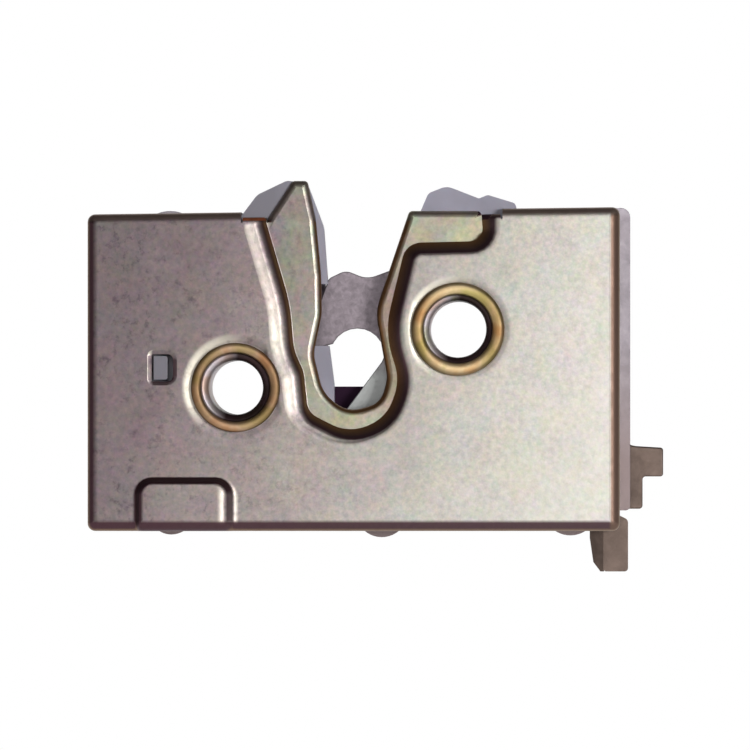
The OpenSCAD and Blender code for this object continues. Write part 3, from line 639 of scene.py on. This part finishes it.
def swept(bm, chain, rows, closed=True):
    """Extrudes a chain of vertices through rows, each given as its points of the face and its depth."""
    for points, y in rows:
        ends = chain[1:] + chain[:1] if closed else chain[1:]
        made = bmesh.ops.extrude_edge_only(bm, edges=[bm.edges.get(pair) for pair in zip(chain, ends)])
        fresh = {item for item in made["geom"] if isinstance(item, bmesh.types.BMVert)}
        chain = [next(e.other_vert(v) for e in v.link_edges if e.other_vert(v) in fresh) for v in chain]
        for vert, p in zip(chain, points):
            vert.co = (p.x, y, p.y)
    return chain


def fill(bm, edges):
    """Closes the flat region between edges."""
    bmesh.ops.triangle_fill(bm, use_beauty=True, use_dissolve=False, edges=edges, normal=(0, -1, 0))


def pressed(depth, slope, shoulder, foot):
    """Section of a pressed wall, as steps out and up: a small foot, a straight slope and a soft shoulder."""
    a = math.radians(slope)
    straight = depth - (foot + shoulder) * (1 - math.cos(a))
    width = (foot + shoulder) * math.sin(a) + straight / math.tan(a)
    low = [(foot * math.sin(t), foot * (1 - math.cos(t)))
           for t in (a * k / FOOT_STEPS for k in range(FOOT_STEPS + 1))]
    high = [(width - shoulder * math.sin(t), depth - shoulder * (1 - math.cos(t)))
            for t in (a * k / SHOULDER_STEPS for k in range(SHOULDER_STEPS, -1, -1))]
    return low + high


def steep_reach(up, depth):
    """How far out a steep wall with a tight shoulder stands at a height."""
    a = math.radians(STEEP_SLOPE)
    turn = depth - STEEP_SHOULDER * (1 - math.cos(a))
    if up < turn:
        return up / math.tan(a)
    short = STEEP_SHOULDER - (depth - up)
    width = turn / math.tan(a) + STEEP_SHOULDER * math.sin(a)
    return width - math.sqrt(max(0, STEEP_SHOULDER ** 2 - short ** 2))


# Outlines in millimetres across the face, as (x, z, radius) corners, anticlockwise.
# The band pressed in round the slot starts at the horn's tip: the stretch that has a wall, the flag's top
# edge, and the slot's edge back up to the horn
BAND_WALL = [(-27.8, 24.95, 0.8), (-32.2, 18.2, 1.2), (-28.1, 4.2, 30), (-27.5, -3.4, 10), (-25.8, -7.2, 6),
             (-25.1, -14, 3), (-18.3, -17.5, 9), (-12, -14.9, 7), (-9.8, -8.6, 8), (-12.3, -0.4, 18),
             (-8.7, 14.5, 3.2), (4.3, 14.8, 2.2), (3.9, 19.9, 0.8)]
BAND_TOP = [(-8.2, 19.9, 0.8)]
HORN_TIP = [(-25.6, 24.95, 0.8)]
SLOT_EDGE = [(-13.9, 3, 9), (-11.9, -8.2, 5), (-13, -12.4, 4), (-18.7, -14, 6), (-22.7, -10.7, 6),
             (-24.3, -4.2, 5), (-22.9, 2.5, 8), (-23, 9, 16), (-23.9, 18.5, 8), (-25.3, 24.95, 0.7)]
PATCH = [(-40.4, -26.3, 1.0), (-52.6, -26.3, 1.4), (-52.6, -38, 0.3), (-40.4, -38, 0.3)]
WINDOW = [(-47.8, -4.2, 1), (-51.4, -4.2, 0.3), (-51.4, -8.8, 0.3), (-47.8, -8.8, 1)]
# Pressed walls: the slope in degrees, and the radii of the shoulder and of the foot
BAND_SECTION = (64, 2.4, 0.2)
PATCH_SECTION = (66, 0.9, 0.5)
DIMPLE_SECTION = (10, 4.0, 0.6)
# How far the wall on each side of the patch runs, against its section: it is gentle on the claw's side
PATCH_RUNS = (0.95, 1.15, 1, 2.1)
# The plate sinks a little before the band's wall begins: steps out and up
APRON = [(0.45, 0.1), (0.45, 0.09), (0.4, 0.05), (0.15, 0)]
# How much each side of the band's wall is steep, without the soft shoulder and the sunk strip; how far such a
# wall runs there, against its section; and its slope in degrees and the radius of its shoulder
STEEP = (0, 0, 0, 0, 0, 0.45, 0.9, 1, 1, 1, 1, 1, 1, 0, 0)
STEEP_RUNS = (1, 1, 1, 1, 1, 1, 1.05, 1.05, 1.02, 1.02, 1.05, 1.15, 1.15, 1, 1)
STEEP_SLOPE, STEEP_SHOULDER = 50, 1.6
# How wide the level rim is between the flat face and what rises or sinks from it
RIM = 0.15
# Where the top bend begins beside the band's wall, and where its first stretch ends
BEND_GAP = (0.3, 1.5)
# Where the rounding of the flag's top edge ends
FLAG_END = 3.85
# What lies deeper than the plate between these limits across and up is the band
BAND_BOX = ((-33, 6), (-19, 26))
# The edge beside the horn that was sheared and rusts, between limits across and up
RAW_BOX = ((-36.2, -31.9), (18.1, 20.5))
# Where the pan's walls end, its corners' radii at the face and outside, and the radius of the edge that is
# turned up beside the horn
PAN_BACK = -2.0
INNER_CORNER, OUTER_CORNER = 0.2, 1.3
EDGE_TURN = 0.9
# How deep the rim of the window is dished, and where the moulding's pad stands in it: the gap on each side,
# and how far its front and back lie behind the face
WINDOW_DISH = 0.3
PAD_GAP = [0.3, 0.3, 0.3, 0.95]
PAD_DEPTH, PAD_BACK = 0.9, 3.8
# The bushes: their radius, the radius of the staked end and of the pan's hole for them; the height of the
# rolled ring, how far its foot lies inside the bush's radius and the length of the flare into the bore; how
# much wider screws wore the bore, and how much wider than its solid each ring was rolled
BUSH_R, STAKED_R = 6.0, 5.3
BUSH_HOLE = BUSH_R + 0.02
RING_H, RING_IN, FLARE_L = 1.3, 0.2, 1.5
BORE_WEAR = 0.2
RING_SPREAD = {"claw": 0.25, "pawl": -0.1}
# A dimple's radius at its foot, and the least room that its slope keeps before the band's wall
DIMPLE_FOOT, DIMPLE_SLOPE = 7.6, 1.3
# The opening in the moulding's strip through which the claw's jaw shows: its left side, bottom and top, and
# how far right it goes; the stretch below it that stands further left: its limits across, its bottom, and by
# how much
OPENING, OPENING_REACH = (-27.0, -2.8, 7.6), -18.0
STRIP, STRIP_LOW, STRIP_SHIFT = (-22.5, -19.5), -11.0, 0.45
# The back plate's lip at the claw's end: where it begins, where its top begins, and how far it is drawn out
# to the side and at its top
LIP_AT, LIP_TOP, LIP_REACH = 27.0, 17.0, (0.25, 0.6)


class LATCH_OT_pan(bpy.types.Operator):
    """The drawn pan: its face with the sunk band, the raised patch and the dimples, and its bent walls"""

    bl_idname = "latch.pan"
    bl_label = "Pan"

    def execute(self, context):
        sizes = context.scene.latch_sizes
        self.sheet, self.bend, self.blank_edge, self.patch, self.depth, self.dimple = (
            size / MM for size in (sizes.sheet, sizes.bend, sizes.blank_edge, sizes.patch_height,
                                   sizes.band_depth, sizes.dimple_depth))
        self.face = pan_low.y + self.patch
        self.floor = self.face + self.depth
        self.left, self.right = pan_low.x + self.bend, pan_high.x - self.bend
        self.bottom, self.top = pan_low.z + self.bend, sizes.pan_top / MM - self.bend
        self.fall = sizes.pan_fall / MM / (self.right - self.left)
        bm = bmesh.new()
        wall = self.band(bm)
        self.raised_patch(bm)
        edges = [e for e in bm.edges if len(e.link_faces) == 1 and self.level(e)]
        border, places = self.border(bm)
        edges += border
        for centre in (claw_at, pawl_at):
            edges += self.dimpled(bm, centre, wall)
        rim = ring(bm, rounded(WINDOW), self.face + WINDOW_DISH)
        edges += around(bm, swept(bm, rim, [
            (rounded(grown(WINDOW, 2 * WINDOW_DISH + wide)), self.face) for wide in (0, RIM)]))
        fill(bm, edges)
        self.walls(bm, border, places)
        self.thicken(bm)
        self.coat(bm)
        bmesh.ops.scale(bm, verts=bm.verts, vec=(MM, MM, MM))
        piece("pan", bm, "pan", "case", ["front_cover"], angle=60,
              others=("band", "raw", "drawn"))
        return {"FINISHED"}

    def coat(self, bm):
        """Gives the band and the sheared edge their own finishes, and the bend beside the flag its painted
        shade.
        """
        band, raw, drawn = 1, 2, 3
        for f in bm.faces:
            at = f.calc_center_median()
            in_band, in_edge = (all(low < value < high for value, (low, high) in zip(at.xz, box))
                                for box in (BAND_BOX, RAW_BOX))
            if at.y > self.floor - NEAR and in_band:
                f.material_index = band
            elif in_edge:
                f.material_index = raw
            # The bend beside the flag gets the walls' painted shade
            if -0.5 < at.x - FLAG_END < 3.5 and at.y > self.face + 1 and at.z > self.top - 0.4:
                f.material_index = drawn

    def level(self, edge):
        """Whether an edge lies in the face."""
        return all(abs(v.co.y - self.face) < NEAR for v in edge.verts)

    def top_at(self, x):
        """Where the face ends and the top bend begins."""
        return self.top - (self.right - x) * self.fall

    def at_top(self, vert):
        """Whether a vertex lies where the top bend begins."""
        return abs(vert.co.z - self.top_at(vert.co.x)) < NEAR

    def at_bottom(self, vert):
        """Whether a vertex lies where the bottom bend begins."""
        return abs(vert.co.z - self.bottom) < NEAR

    def band(self, bm):
        """The sunk band's floor and its wall, trimmed along the top bend; gives the wall's outer line."""
        plate = BAND_WALL + BAND_TOP + SLOT_EDGE
        closed = BAND_WALL + BAND_TOP + HORN_TIP
        foot = ring(bm, rounded(plate), self.floor)
        # The floor's inset is wide along the free edges, to take their rounding, and narrow along the wall
        narrow, wide = -0.06, -self.blank_edge - 0.02
        insets = [narrow if 0 < i < len(BAND_WALL) - 2 else wide for i in range(len(plate))]
        inner = swept(bm, foot, [(rounded(grown(plate, insets)), self.floor)])
        fill(bm, around(bm, inner))
        floor = set(bm.faces)
        walled = len(BAND_WALL) * (CORNER_STEPS + 1)
        drop = sum(up for out, up in APRON)
        section = pressed(self.depth - drop, *BAND_SECTION)[1:]
        for out, up in APRON:
            section.append((section[-1][0] + out, section[-1][1] + up))
        rows = []
        for k, (out, up) in enumerate(section):
            tight = steep_reach(up, self.depth) + RIM * (k == len(section) - 1)
            reach = [out * (1 - share) + tight * run * share for share, run in zip(STEEP, STEEP_RUNS)]
            rows.append((rounded(grown(closed, reach))[:walled], self.floor - up))
        swept(bm, foot[:walled], rows, closed=False)
        wall = [f for f in bm.faces if f not in floor]
        bmesh.ops.bisect_plane(
            bm, geom=list({item for f in wall for item in (f, *f.edges, *f.verts)}), dist=NEAR / 10,
            plane_co=(self.right, 0, self.top), plane_no=(-self.fall, 0, 1))
        cut = [f for f in bm.faces if min(v.co.y for v in f.verts) < self.floor - NEAR
               and f.calc_center_median().z > self.top_at(f.calc_center_median().x)]
        bmesh.ops.delete(bm, geom=cut, context="FACES")
        return rows[-1][0]

    def raised_patch(self, bm):
        """The patch raised in the lower corner, whose wall runs out into the bottom bend."""
        section = pressed(self.patch, *PATCH_SECTION)[::-1]
        width = section[0][0]
        rows = [(rounded(grown(PATCH, [(width - out) * run for run in PATCH_RUNS])), self.face - up)
                for out, up in section]
        rows.append((rounded(grown(PATCH, [width * run + RIM for run in PATCH_RUNS])), self.face))
        top = ring(bm, *rows[0])
        inner = swept(bm, top, [(rounded(grown(PATCH, -0.5)), rows[0][1])])
        fill(bm, around(bm, inner))
        swept(bm, top, rows[1:])
        bmesh.ops.bisect_plane(
            bm, geom=bm.verts[:] + bm.edges[:] + bm.faces[:], dist=NEAR / 10,
            plane_co=(0, 0, self.bottom), plane_no=(0, 0, -1), clear_outer=True)

    def dimpled(self, bm, centre, wall):
        """A bush's seat, sunk in a dimple that stops short of the band's wall; gives its outer edges."""
        section = pressed(self.dimple, *DIMPLE_SECTION)
        full = section[-1][0]
        ways = [Vector((math.cos(a), math.sin(a)))
                for a in (math.tau * k / ROUND_STEPS for k in range(ROUND_STEPS))]
        reach, feet = [], []
        for way in ways:
            hits = [intersect_line_line_2d(centre, centre + way * 30, a, b) for a, b in zip(wall, wall[1:])]
            clear = min([(hit - centre).length - 2 * RIM for hit in hits if hit] + [DIMPLE_FOOT + full])
            feet.append(max(BUSH_HOLE + 0.1, min(DIMPLE_FOOT, clear - DIMPLE_SLOPE)))
            reach.append((clear - feet[-1]) / full)
        rows = [([centre + way * (start + out * share) for way, share, start in zip(ways, reach, feet)],
                 self.face + self.dimple - up) for out, up in section]
        rows.append(([p + way * RIM for p, way in zip(rows[-1][0], ways)], self.face))
        hole = ring(bm, [centre + way * BUSH_HOLE for way in ways], self.face + self.dimple)
        return around(bm, swept(bm, hole, rows))

    def border(self, bm):
        """The edge of the flat face, with where each of its points goes as the sheet bends outwards."""
        def straight(p, n):
            return lambda d: p + n * d

        def corner(c, n1, n2, way):
            return lambda d: c + (n1 + n2) * (d - corner_radius(d)) + way * corner_radius(d)

        def corner_radius(d):
            return INNER_CORNER + (OUTER_CORNER - INNER_CORNER) * d / self.bend

        def turn(x, z, n1, n2):
            ways = [unit(n1 * math.cos(a) + n2 * math.sin(a))
                    for a in (math.pi / (2 * CORNER_STEPS) * k for k in range(CORNER_STEPS + 1))]
            return [corner(Vector((x, z)), n1, n2, way) for way in ways]

        up, down, left, right = (Vector(n) for n in ((0, 1), (0, -1), (-1, 0), (1, 0)))
        on_top, on_bottom = (
            sorted((v for v in bm.verts if there(v) and abs(v.co.y - self.face) < NEAR), key=lambda v: v.co.x)
            for there in (self.at_top, self.at_bottom))
        places = {v: straight(v.co.xz, down) for v in bm.verts if self.at_bottom(v)}
        on_left, on_right = (
            [straight(Vector((x, self.top_at(x))), up) for x in (end.co.x + gap * side for gap in BEND_GAP)]
            for end, side in ((on_top[0], -1), (on_top[-1], 1)))
        left_turns = (turn(self.left, self.bottom, down, left)
                      + turn(self.left, self.top_at(self.left), left, up) + on_left[::-1])
        right_turns = (on_right + turn(self.right, self.top, up, right)
                       + turn(self.right, self.bottom, right, down))
        edges = []
        for first, turns, last in ((on_bottom[0], left_turns, on_top[0]),
                                   (on_top[-1], right_turns, on_bottom[-1])):
            chain = [first]
            for place in turns:
                p = place(0)
                vert = bm.verts.new((p.x, self.face, p.y))
                places[vert] = place
                chain.append(vert)
            chain.append(last)
            edges += [bm.edges.new(pair) for pair in zip(chain, chain[1:])]
        return edges, places

    def walls(self, bm, border, places):
        """Bends the sheet back along its border, and turns its edge up where the top wall is left out."""
        bottom = [e for e in bm.edges if all(self.at_bottom(v) for v in e.verts)]
        turned_up = [e for e in bm.edges if all(self.at_top(v) for v in e.verts)
                     and len(e.link_faces) == 1 and e not in border]
        edges = [e for e in set(border + bottom) if all(v in places for v in e.verts)]
        home = {v: (places[v], v.co.y) for e in edges for v in e.verts}
        radius = self.bend - RIM
        steps = [(RIM + radius * math.sin(a), radius * (1 - math.cos(a)))
                 for a in (math.pi / (2 * BEND_STEPS) * k for k in range(BEND_STEPS + 1))]
        for out, back in steps + [(self.bend, None)]:
            made = bmesh.ops.extrude_edge_only(bm, edges=edges)["geom"]
            fresh = {item for item in made if isinstance(item, bmesh.types.BMVert)}
            for v in fresh:
                home[v] = home[next(e.other_vert(v) for e in v.link_edges if e.other_vert(v) in home
                                    and e.other_vert(v) not in fresh)]
                p = home[v][0](out)
                v.co = (p.x, PAN_BACK if back is None else home[v][1] + back, p.y)
            edges = [item for item in made
                     if isinstance(item, bmesh.types.BMEdge) and all(v in fresh for v in item.verts)]
        for k in range(TURN_STEPS):
            a, b = (math.pi / (2 * TURN_STEPS) * end for end in (k, k + 1))
            made = bmesh.ops.extrude_edge_only(bm, edges=turned_up)["geom"]
            fresh = [item for item in made if isinstance(item, bmesh.types.BMVert)]
            step = (0, EDGE_TURN * (math.cos(a) - math.cos(b)), EDGE_TURN * (math.sin(b) - math.sin(a)))
            bmesh.ops.translate(bm, verts=fresh, vec=step)
            turned_up = [item for item in made
                         if isinstance(item, bmesh.types.BMEdge) and all(v in fresh for v in item.verts)]

    def thicken(self, bm):
        """Gives the sheet its thickness, and rounds the front edge of what was blanked out of the band."""
        bmesh.ops.remove_doubles(bm, verts=bm.verts, dist=NEAR)
        bmesh.ops.recalc_face_normals(bm, faces=bm.faces)
        if max(bm.faces, key=lambda f: f.calc_area()).normal.y > 0:
            bmesh.ops.reverse_faces(bm, faces=bm.faces)
        bmesh.ops.solidify(bm, geom=bm.faces[:], thickness=self.sheet)
        bm.normal_update()
        front = [e for e in bm.edges if len(e.link_faces) == 2 and e.calc_face_angle() > math.radians(60)
                 and all(abs(v.co.y - self.floor) < NEAR and v.co.x < FLAG_END for v in e.verts)]
        bmesh.ops.bevel(bm, geom=front, offset=self.blank_edge, offset_type="OFFSET", segments=4, profile=0.5,
                        affect="EDGES", material=-1, clamp_overlap=False)


class LATCH_OT_bushes(bpy.types.Operator):
    """The hollow bushes with their rolled rings"""

    bl_idname = "latch.bushes"
    bl_label = "Bushes"

    def execute(self, context):
        sizes = context.scene.latch_sizes
        self.patch, self.dimple = sizes.patch_height / MM, sizes.dimple_depth / MM
        self.bush("claw", claw_at)
        self.bush("pawl", pawl_at)
        return {"FINISHED"}

    def bush(self, name, at):
        """Spins one bush: its tube, the end staked in the back plate, the rolled ring and the flare."""
        low, high = (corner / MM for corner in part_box(name + "_bush"))
        ring_r = (high.x - low.x) / 2 + RING_SPREAD[name]
        bore_r = mount_sizes[name + "_bore"]["r_mm"] + BORE_WEAR
        seat = pan_low.y + self.patch + self.dimple
        middle = (ring_r + BUSH_R - RING_IN) / 2
        flare_r = 2 * middle - ring_r
        turns = [math.pi * k / ROLL_STEPS for k in range(ROLL_STEPS + 1)]
        # The roll is squarer than a half circle, and a quarter of its height stands straight
        roll = [(middle + (ring_r - middle) * math.cos(a),
                 seat - RING_H * (0.25 + 0.75 * max(0, math.sin(a)) ** 0.55)) for a in turns]
        flare = [(bore_r + (flare_r - bore_r) * (1 - math.sin(a)), seat + FLARE_L * (1 - math.cos(a)))
                 for a in turns[1:ROLL_STEPS // 2 + 1]]
        tube = [(bore_r, 0), (STAKED_R, 0), (STAKED_R, PAN_BACK), (BUSH_R, PAN_BACK), (BUSH_R, seat),
                (ring_r, seat)]
        bm = bmesh.new()
        verts = [bm.verts.new((at.x + r, y, at.y)) for r, y in tube + roll + flare]
        edges = [bm.edges.new(pair) for pair in zip(verts, verts[1:] + verts[:1])]
        bmesh.ops.spin(bm, geom=verts + edges, cent=(at.x, 0, at.y), axis=(0, 1, 0), angle=math.tau,
                       steps=ROUND_STEPS, use_merge=True, use_duplicate=False)
        bmesh.ops.remove_doubles(bm, verts=bm.verts, dist=NEAR)
        bmesh.ops.recalc_face_normals(bm, faces=bm.faces)
        bmesh.ops.scale(bm, verts=bm.verts, vec=(MM, MM, MM))
        piece(name + "_ring", bm, name + "_ring", "case", [name + "_bush"], angle=40)


class LATCH_OT_mouldings(bpy.types.Operator):
    """The guide body, the rubber buffer and the plastic spacers"""

    bl_idname = "latch.mouldings"
    bl_label = "Mouldings"

    def execute(self, context):
        sizes = context.scene.latch_sizes
        dressed("guide_body", "nylon", edge=0.6 * MM, change=self.claw_opening)
        self.window_pad(pan_low.y + sizes.patch_height / MM)
        # The buffer's black rubber stands in for the deep shade at the floor of the slot
        dressed("striker_buffer", "rubber", edge=0.3 * MM)
        dressed("stop_sleeve", "rubber", edge=0.3 * MM)
        dressed("lever_spacer", "white_nylon", edge=0.15 * MM)
        dressed("inner_rod_clip", "white_nylon", edge=0.15 * MM)
        return {"FINISHED"}

    def claw_opening(self, bm):
        """Opens the moulding's strip beside the slot, where the claw's jaw shows."""
        (x, bottom, top), right = (value * MM for value in OPENING), OPENING_REACH * MM
        for co, no in (((x, 0, 0), (1, 0, 0)), ((0, 0, bottom), (0, 0, 1)), ((0, 0, top), (0, 0, 1))):
            bmesh.ops.bisect_plane(bm, geom=bm.verts[:] + bm.edges[:] + bm.faces[:], dist=NEAR * MM,
                                   plane_co=co, plane_no=no)
        inside = [f for f in bm.faces if x < f.calc_center_median().x < right
                  and bottom < f.calc_center_median().z < top]
        bmesh.ops.delete(bm, geom=inside, context="FACES")
        loose = [v for v in bm.verts if not v.link_faces]
        bmesh.ops.delete(bm, geom=loose, context="VERTS")
        rim = {v for e in bm.edges if len(e.link_faces) == 1 for v in e.verts}
        for axis, level in ((0, x), (2, bottom), (2, top)):
            side = [v for v in rim if abs(v.co[axis] - level) < NEAR * MM]
            bmesh.ops.contextual_create(bm, geom=side)
        for v in bm.verts:
            if STRIP[0] * MM < v.co.x < STRIP[1] * MM and STRIP_LOW * MM < v.co.z < bottom + NEAR * MM:
                v.co.x -= STRIP_SHIFT * MM
        bmesh.ops.recalc_face_normals(bm, faces=bm.faces)

    def window_pad(self, face):
        """The pad of the guide body that stands in the pan's window."""
        bm = bmesh.new()
        front = ring(bm, rounded(grown(WINDOW, [-gap for gap in PAD_GAP])), face + PAD_DEPTH)
        bmesh.ops.contextual_create(bm, geom=around(bm, front))
        sides = bmesh.ops.extrude_face_region(bm, geom=bm.faces[:])["geom"]
        for vert in sides:
            if isinstance(vert, bmesh.types.BMVert):
                vert.co.y = face + PAD_BACK
        bmesh.ops.recalc_face_normals(bm, faces=bm.faces)
        bmesh.ops.scale(bm, verts=bm.verts, vec=(MM, MM, MM))
        piece("window_pad", bm, "nylon", "case", edge=0.2 * MM, angle=60)


class LATCH_OT_claw(bpy.types.Operator):
    """The claw, the pawl and its pin"""

    bl_idname = "latch.claw"
    bl_label = "Claw and pawl"

    def execute(self, context):
        edge = context.scene.latch_sizes.broken_edge
        dressed("claw", "claw", edge)
        dressed("pawl", "claw", edge)
        dressed("pawl_pin", "bright", edge=0.3 * MM)
        return {"FINISHED"}


class LATCH_OT_back(bpy.types.Operator):
    """The back plate with its posts and studs"""

    bl_idname = "latch.back"
    bl_label = "Back plate"

    def execute(self, context):
        dressed("back_plate", "back", context.scene.latch_sizes.broken_edge, change=self.longer_lip)
        for node in ("stop_post", "lever_stud", "lock_stud", "claw_washer", "pawl_washer"):
            dressed(node, "bright", edge=0.12 * MM)
        return {"FINISHED"}

    def longer_lip(self, bm):
        """Draws the lip at the claw's end out a little, to the side and at its top."""
        for v in bm.verts:
            if v.co.x > LIP_AT * MM:
                v.co.x += LIP_REACH[0] * MM
                v.co.z += LIP_REACH[1] * MM if v.co.z > LIP_TOP * MM else 0


class LATCH_OT_levers(bpy.types.Operator):
    """The release levers and the locking lever"""

    bl_idname = "latch.levers"
    bl_label = "Levers"

    def execute(self, context):
        for node in ("release_lever", "inner_lever", "lock_lever"):
            dressed(node, "lever", context.scene.latch_sizes.broken_edge)
        for node in ("lever_clip", "lock_clip"):
            dressed(node, "spring", edge=0.1 * MM)
        return {"FINISHED"}


class LATCH_OT_springs(bpy.types.Operator):
    """The wire springs"""

    bl_idname = "latch.springs"
    bl_label = "Springs"

    def execute(self, context):
        for node in ("claw_spring", "pawl_spring", "lever_spring", "toggle_spring"):
            dressed(node, "spring", edge=0.0, angle=60)
        return {"FINISHED"}


class LATCH_PT_dress(bpy.types.Panel):
    """The latch's sizes, colours and pieces"""

    bl_idname = "LATCH_PT_dress"
    bl_label = "Car door latch"
    bl_space_type = "VIEW_3D"
    bl_region_type = "UI"
    bl_category = "Latch"

    def draw(self, context):
        for group in (context.scene.latch_sizes, context.scene.latch_finish):
            for name in group.__annotations__:
                self.layout.prop(group, name)
        for operator in OPERATORS:
            self.layout.operator(operator.bl_idname)


OPERATORS = (LATCH_OT_stage, LATCH_OT_pan, LATCH_OT_bushes, LATCH_OT_mouldings, LATCH_OT_claw,
             LATCH_OT_back, LATCH_OT_levers, LATCH_OT_springs)
CLASSES = (LatchSizes, LatchFinish) + OPERATORS + (LATCH_PT_dress,)


def register():
    """Registers the classes and hangs the sizes and colours on the scene."""
    for item in CLASSES:
        bpy.utils.register_class(item)
    bpy.types.Scene.latch_sizes = bpy.props.PointerProperty(type=LatchSizes)
    bpy.types.Scene.latch_finish = bpy.props.PointerProperty(type=LatchFinish)


def unregister():
    """Takes them off again."""
    del bpy.types.Scene.latch_finish
    del bpy.types.Scene.latch_sizes
    for item in reversed(CLASSES):
        bpy.utils.unregister_class(item)


def main():
    """Builds the stage and every piece."""
    register()
    make_finishes(bpy.context.scene)
    bpy.ops.latch.stage()
    bpy.ops.latch.pan()
    bpy.ops.latch.bushes()
    bpy.ops.latch.mouldings()
    bpy.ops.latch.claw()
    bpy.ops.latch.back()
    bpy.ops.latch.levers()
    bpy.ops.latch.springs()


if __name__ == "__main__":
    main()
